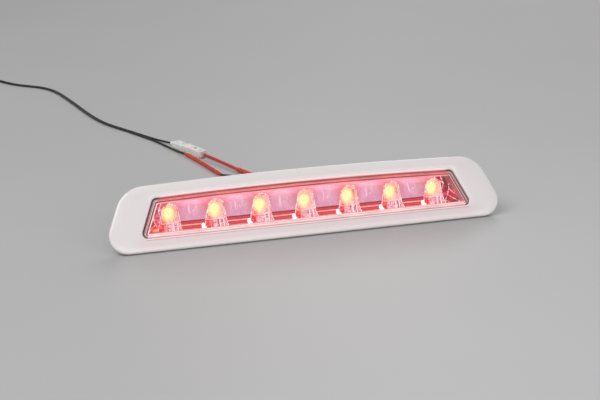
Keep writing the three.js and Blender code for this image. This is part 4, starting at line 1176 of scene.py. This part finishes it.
def makeHousing(setup):
    wall, thick, back, inset = setup["wall"], setup["thick"], setup["back"], setup["inset"]
    front, seat = setup["flangeFront"], setup["flangeBack"]
    inner = [(wall - thick - 0.2, front), (wall - thick - 0.3, seat),
             (inset - thick + 1.0, back - thick - 0.8), (inset - thick + 0.2, back - thick)]
    outer = [(inset - 0.5, back), (inset - 0.15, back - 0.12), (inset + 0.02, back - 0.5),
             (wall - 0.55, seat + 1.4), (wall - 0.2, seat + 0.6), (wall + 0.5, seat + 0.06)]
    rings = [ringAt(windowShape, grown, d) for grown, d in outer]
    rings += [ringAt(flangeShape, -0.35, seat), ringAt(flangeShape, -0.05, seat - 0.12),
              ringAt(flangeShape, 0.0, seat - 0.4), ringAt(flangeShape, 0.0, front + 0.2),
              ringAt(flangeShape, -0.2, front)]
    rings += [ringAt(windowShape, grown, d) for grown, d in inner]
    shape = Shape().grid(rings, closed=True, flip=True)
    addCap(shape, rings[0], 0, back=True)
    addCap(shape, rings[-1], 0)
    for x in setup["studs"]:  # bosses round the studs
        boss = [(2.6, -0.4), (7.4, -0.4), (7.3, 0.02), (6.3, 0.2), (5.75, 0.7), (5.5, 1.3), (5.5, 1.75),
                (5.25, 2.0), (2.6, 2.0)]
        shape.lathe(behind(back, boss), (x, setup["middle"]), "d", 40, loop=True)
    for x, wide in ((setup["outlet"], 7.6), (setup["vent"], 5.2)):  # flat seats of the outlet and the vent
        flat = [(wide - 2.0, -0.3), (wide + 0.1, -0.3), (wide, 0.14), (wide - 0.15, 0.22), (wide - 2.0, 0.22)]
        shape.lathe(behind(back, flat), (x, setup["middle"]), "d", 40, loop=True)
    low, high = setup["ribHeights"]
    rise = back + setup["ribRise"]
    for h in (low, high):  # two long ribs joined by short ones
        for start, end in ((-96, -1), (1, 96)):
            for k in range(8):
                a, b = start + (end - start) * k / 8, start + (end - start) * (k + 1) / 8
                drop = crownAt((a + b) / 2) if h == high else 0
                shape.box((a - 0.05, back - 0.3, h - drop - 0.55), (b + 0.05, rise, h - drop + 0.55), 0.16)
    for x in setup["ribs"]:
        top = high - crownAt(x) - (3.0 if abs(x) > 100 else 0)
        shape.box((x - 0.55, back - 0.3, low), (x + 0.55, rise, top), 0.16)
    for x in setup["pins"]:  # marks that the mould's pins leave
        mark = [(1.5, -0.1), (2.3, -0.1), (2.25, 0.1), (2.1, 0.14), (1.95, 0.1), (1.9, 0.02), (1.5, 0.02)]
        shape.lathe(behind(back, mark), (x, 26.2), "d", 28, loop=True)
    for place in screwPlaces:
        pad = [(1.5, -0.3), (3.7, -0.3), (3.6, 0.1), (3.4, 0.24), (1.5, 0.24)]
        shape.lathe(behind(seat, pad), place, "d", 32, loop=True)
    for x in range(-105, 106, 15):  # gussets between the flange and the wall
        for h, way in ((windowShape["low"], -1), (windowShape["high"] - crownAt(x), 1)):
            deep = 1.6 if way > 0 else 1.0
            ends = sorted((h + way * 1.0, h + way * (wall + deep)))
            shape.box((x - 0.5, seat - 0.3, ends[0]), (x + 0.5, seat + 4.2 + way, ends[1]), 0.2)
    return shape


makeHousing(rearSetup).piece("housing_shell", [blackPlastic], "black_plastic", ["housing"], 32)


def makeFoam():  # ring between the bezel's edge and the housing's flange, pressed onto both
    outside = [(-1.75, 3.5), (-1.5, 3.75), (-1.42, 4.5), (-1.5, 5.25), (-1.75, 5.5)]
    inside = [(0.4, 5.5), (0.15, 5.62), (-0.4, 5.62), (-0.4, 3.75), (-0.15, 3.5)]
    rings = [ringAt(bezelShape, *place) for place in outside]
    rings += [ringAt(flangeShape, *place) for place in inside]
    return Shape().grid(rings, closed=True, loop=True)


makeFoam().piece("foam_gasket", [foamRing], "foam", ["gasket"], 50)

# fastenings and outlet
studSetup = {"radius": 2.5, "pitch": 0.8, "start": 24.4, "tip": 34.0, "groove": 0.17}
screwSetup = {"head": 2.3, "rise": 1.3, "arm": 0.36, "recess": 0.75, "seat": 7.68, "shank": 1.4,
              "shankEnd": 3.4, "turn": 0.3, "steps": 48}


def makeStud(x, setup):
    radius, pitch = setup["radius"], setup["pitch"]

    def thread(angle, along):
        fade = min(max((along - setup["start"]) / 0.6, 0), 1)
        fade *= min(max((setup["tip"] - 0.35 - along) / 0.4, 0), 1)
        return -fade * setup["groove"] / radius * (1 + math.cos(2 * math.pi * along / pitch - angle))
    count = round((setup["tip"] - setup["start"]) / pitch * 8)
    profile = [(0, 18.4), (4.6, 18.4), (4.6, 20.1), (radius, 20.1), (radius, setup["start"])]
    profile += [(radius, along) for along in np.linspace(setup["start"], setup["tip"] - 0.45, count)[1:]]
    profile += [(radius - 0.5, setup["tip"]), (0, setup["tip"])]
    return Shape().lathe(profile, (x, rearSetup["middle"]), "d", 32, wave=thread)


def makeScrew(place, setup):
    # pan head with a cross recess, its top facing away from the lamp's face
    head, rise, seat, shank, turn = (setup[key] for key in ("head", "rise", "seat", "shank", "turn"))
    steps = setup["steps"]
    rows = []
    for radius in (0.0, 0.25, 0.42, 0.6, 0.8, 1.0, 1.15, 1.28, 1.4, 1.6, 1.9, 2.1, 2.24, head):
        row = []
        for angle in np.linspace(0, 2 * math.pi, steps, endpoint=False):
            arm = min(abs(radius * math.cos(angle)), abs(radius * math.sin(angle)))
            inArm = min(max((setup["arm"] + 0.14 - arm) / 0.14, 0), 1) * min(max((1.4 - radius) / 0.12, 0), 1)
            top = seat + rise - 0.3 * (radius / head) ** 2 - 0.35 * max(radius / head - 0.85, 0) / 0.15
            row.append((place[0] + radius * math.cos(angle + turn), top - setup["recess"] * inArm,
                        place[1] + radius * math.sin(angle + turn)))
        rows.append(row)
    profile = [(head, rows[-1][0][1]), (head, seat), (shank, seat), (shank, setup["shankEnd"]),
               (0, setup["shankEnd"])]
    return Shape().grid(rows, closed=True).lathe(profile, place, "d", steps, turn=turn)


for name, x in zip(("left", "right"), rearSetup["studs"]):
    makeStud(x, studSetup).piece(f"stud_{name}", [zincSteel], "zinc_steel", [f"mounting_stud_{name}"], 35)
for number, place in enumerate(screwPlaces, 1):
    makeScrew(place, screwSetup).piece(f"pan_screw_{number}", [zincSteel], "zinc_steel",
                                       [f"housing_screw_{number}"], 35)


def makeGrommet(setup):
    back, (x, h) = setup["back"], (setup["outlet"], setup["middle"])
    body = [(0, -2.2), (4.4, -2.2), (4.4, 0.3), (6.2, 0.3), (6.4, 0.5), (6.4, 1.05), (6.2, 1.3), (5.7, 1.36),
            (5.55, 1.5), (5.7, 1.66), (5.5, 2.0), (5.0, 2.2), (0, 2.3)]
    shape = Shape().lathe(behind(back, body), (x, h), "d", 48)
    for side, wireRadius in ((1, 1.2), (-1, 1.1)):  # soft sleeves round the two wires
        profile = [(wireRadius, 1.5), (2.35, 1.5), (2.3, 2.5), (2.05, 2.8), (2.05, 3.1), (2.2, 3.3),
                   (2.1, 3.6), (1.85, 3.8), (1.85, 4.1), (1.95, 4.3), (1.8, 4.7),
                   (wireRadius + 0.15, 4.9), (wireRadius, 4.7)]
        shape.lathe(behind(back, profile), (x + side * outlet["spread"], h), "d", 28, loop=True)
    return shape


def makeVent(setup):
    back = setup["back"]

    def slots(angle, along):
        return -0.11 * min(max((math.cos(8 * angle) - 0.55) / 0.2, 0), 1) if along > back + 0.4 else 0
    profile = [(0, -2.0), (1.9, -2.0), (1.9, 0.3), (3.8, 0.3), (4.0, 0.5), (4.0, 1.2), (3.85, 1.55),
               (3.3, 1.95), (2.6, 2.0), (2.4, 1.75), (1.3, 1.75), (1.1, 1.95), (0, 2.0)]
    return Shape().lathe(behind(back, profile), (setup["vent"], setup["middle"]), "d", 64, wave=slots)


makeGrommet(rearSetup).piece("outlet_grommet", [blackRubber], "black_rubber", ["grommet"], 35)
makeVent(rearSetup).piece("vent_button", [blackRubber], "black_rubber", ["vent_cap"], 35)
print("housing, fastenings and outlet made")

# what the housing hides keeps its CAD shape
boardWhite = Finish("boardWhite", Roughness=0.38)
boardH = boardWhite.place()[2]
track = (boardH - 22.6).size().ramp(1.1, 1.3, 1.0, 0.0) + (boardH - 30.4).size().ramp(0.5, 0.7, 1.0, 0.0)
boardWhite.set(Base_Color=boardWhite.blend(track * 0.5, boardWhite.blend(
    boardWhite.noise(120, 3), (0.76, 0.76, 0.73), (0.70, 0.70, 0.66)), (0.62, 0.64, 0.58)))
boardPart = Finish("boardPart", Roughness=0.4)
partX = boardPart.place()[0]
partU = (partX - (partX / cellSetup["pitch"]).math("ROUND") * cellSetup["pitch"]).size()
tinned = partU.ramp(1.05, 1.15)
boardPart.set(Base_Color=boardPart.blend(tinned, boardPart.blend(
    boardPart.noise(1500, 2), (0.020, 0.020, 0.022), (0.035, 0.034, 0.034)), (0.70, 0.69, 0.66)),
    Metallic=tinned * 0.9)


def dress(name, finish):
    for slot in nodes[name].material_slots:
        slot.link = "OBJECT"
        slot.material = finish.material


dress("lens_bead", blackRubber)
dress("circuit_board", boardWhite)
dress("board_diode", boardPart)
for number in range(1, cellSetup["count"] + 1):
    dress(f"resistor_{number}", boardPart)
for number in (1, 2):
    dress(f"board_screw_{number}", zincSteel)
print("inner parts finished")

# table and light
def areaLight(name, place, aim, size, power):
    data = bpy.data.lights.new(name, "AREA")
    data.shape, data.size, data.size_y = "RECTANGLE", *size
    data.energy = power
    lamp = bpy.data.objects.new(name, data)
    bpy.context.scene.collection.objects.link(lamp)
    lamp.location = place
    lamp.rotation_euler = (Vector(aim) - Vector(place)).to_track_quat("-Z", "Y").to_euler()


world = bpy.data.worlds.new("studio")
bpy.context.scene.world = world
world.use_nodes = True
studio = world.node_tree.nodes["Background"].inputs
studio["Color"].default_value, studio["Strength"].default_value = (0.80, 0.80, 0.82, 1), 0.46
bpy.context.scene.view_settings.view_transform = "Standard"

tableFinish = Finish("paleTable", Roughness=0.42, Specular_IOR_Level=0.4)
tableTone = tableFinish.blend(tableFinish.noise(6, 3), (0.46, 0.455, 0.45), (0.49, 0.485, 0.48))
tableFinish.set(Base_Color=tableTone)
tableTop = bpy.data.meshes.new("tableTop")
tableTop.from_pydata([(-4, -4, 0), (4, -4, 0), (4, 4, 0), (-4, 4, 0)], [], [(0, 1, 2, 3)])
tableTop.materials.append(tableFinish.material)
table = bpy.data.objects.new("tableTop", tableTop)
bpy.context.scene.collection.objects.link(table)
areaLight("keySoftbox", (-0.72, -0.25, 1.0), (0, 0.05, 0), (1.0, 0.7), 8.0)
areaLight("rearSoftbox", (0.6, 0.9, 0.8), (0, 0.1, 0), (0.9, 0.5), 4.0)
areaLight("frontFill", (0.3, -1.3, 0.5), (0, 0, 0.02), (1.2, 0.6), 3.6)
areaLight("lowStrip", (-0.05, -0.80, 0.06), (0, 0, 0.03), (1.5, 0.08), 1.3)
print("table and light set")
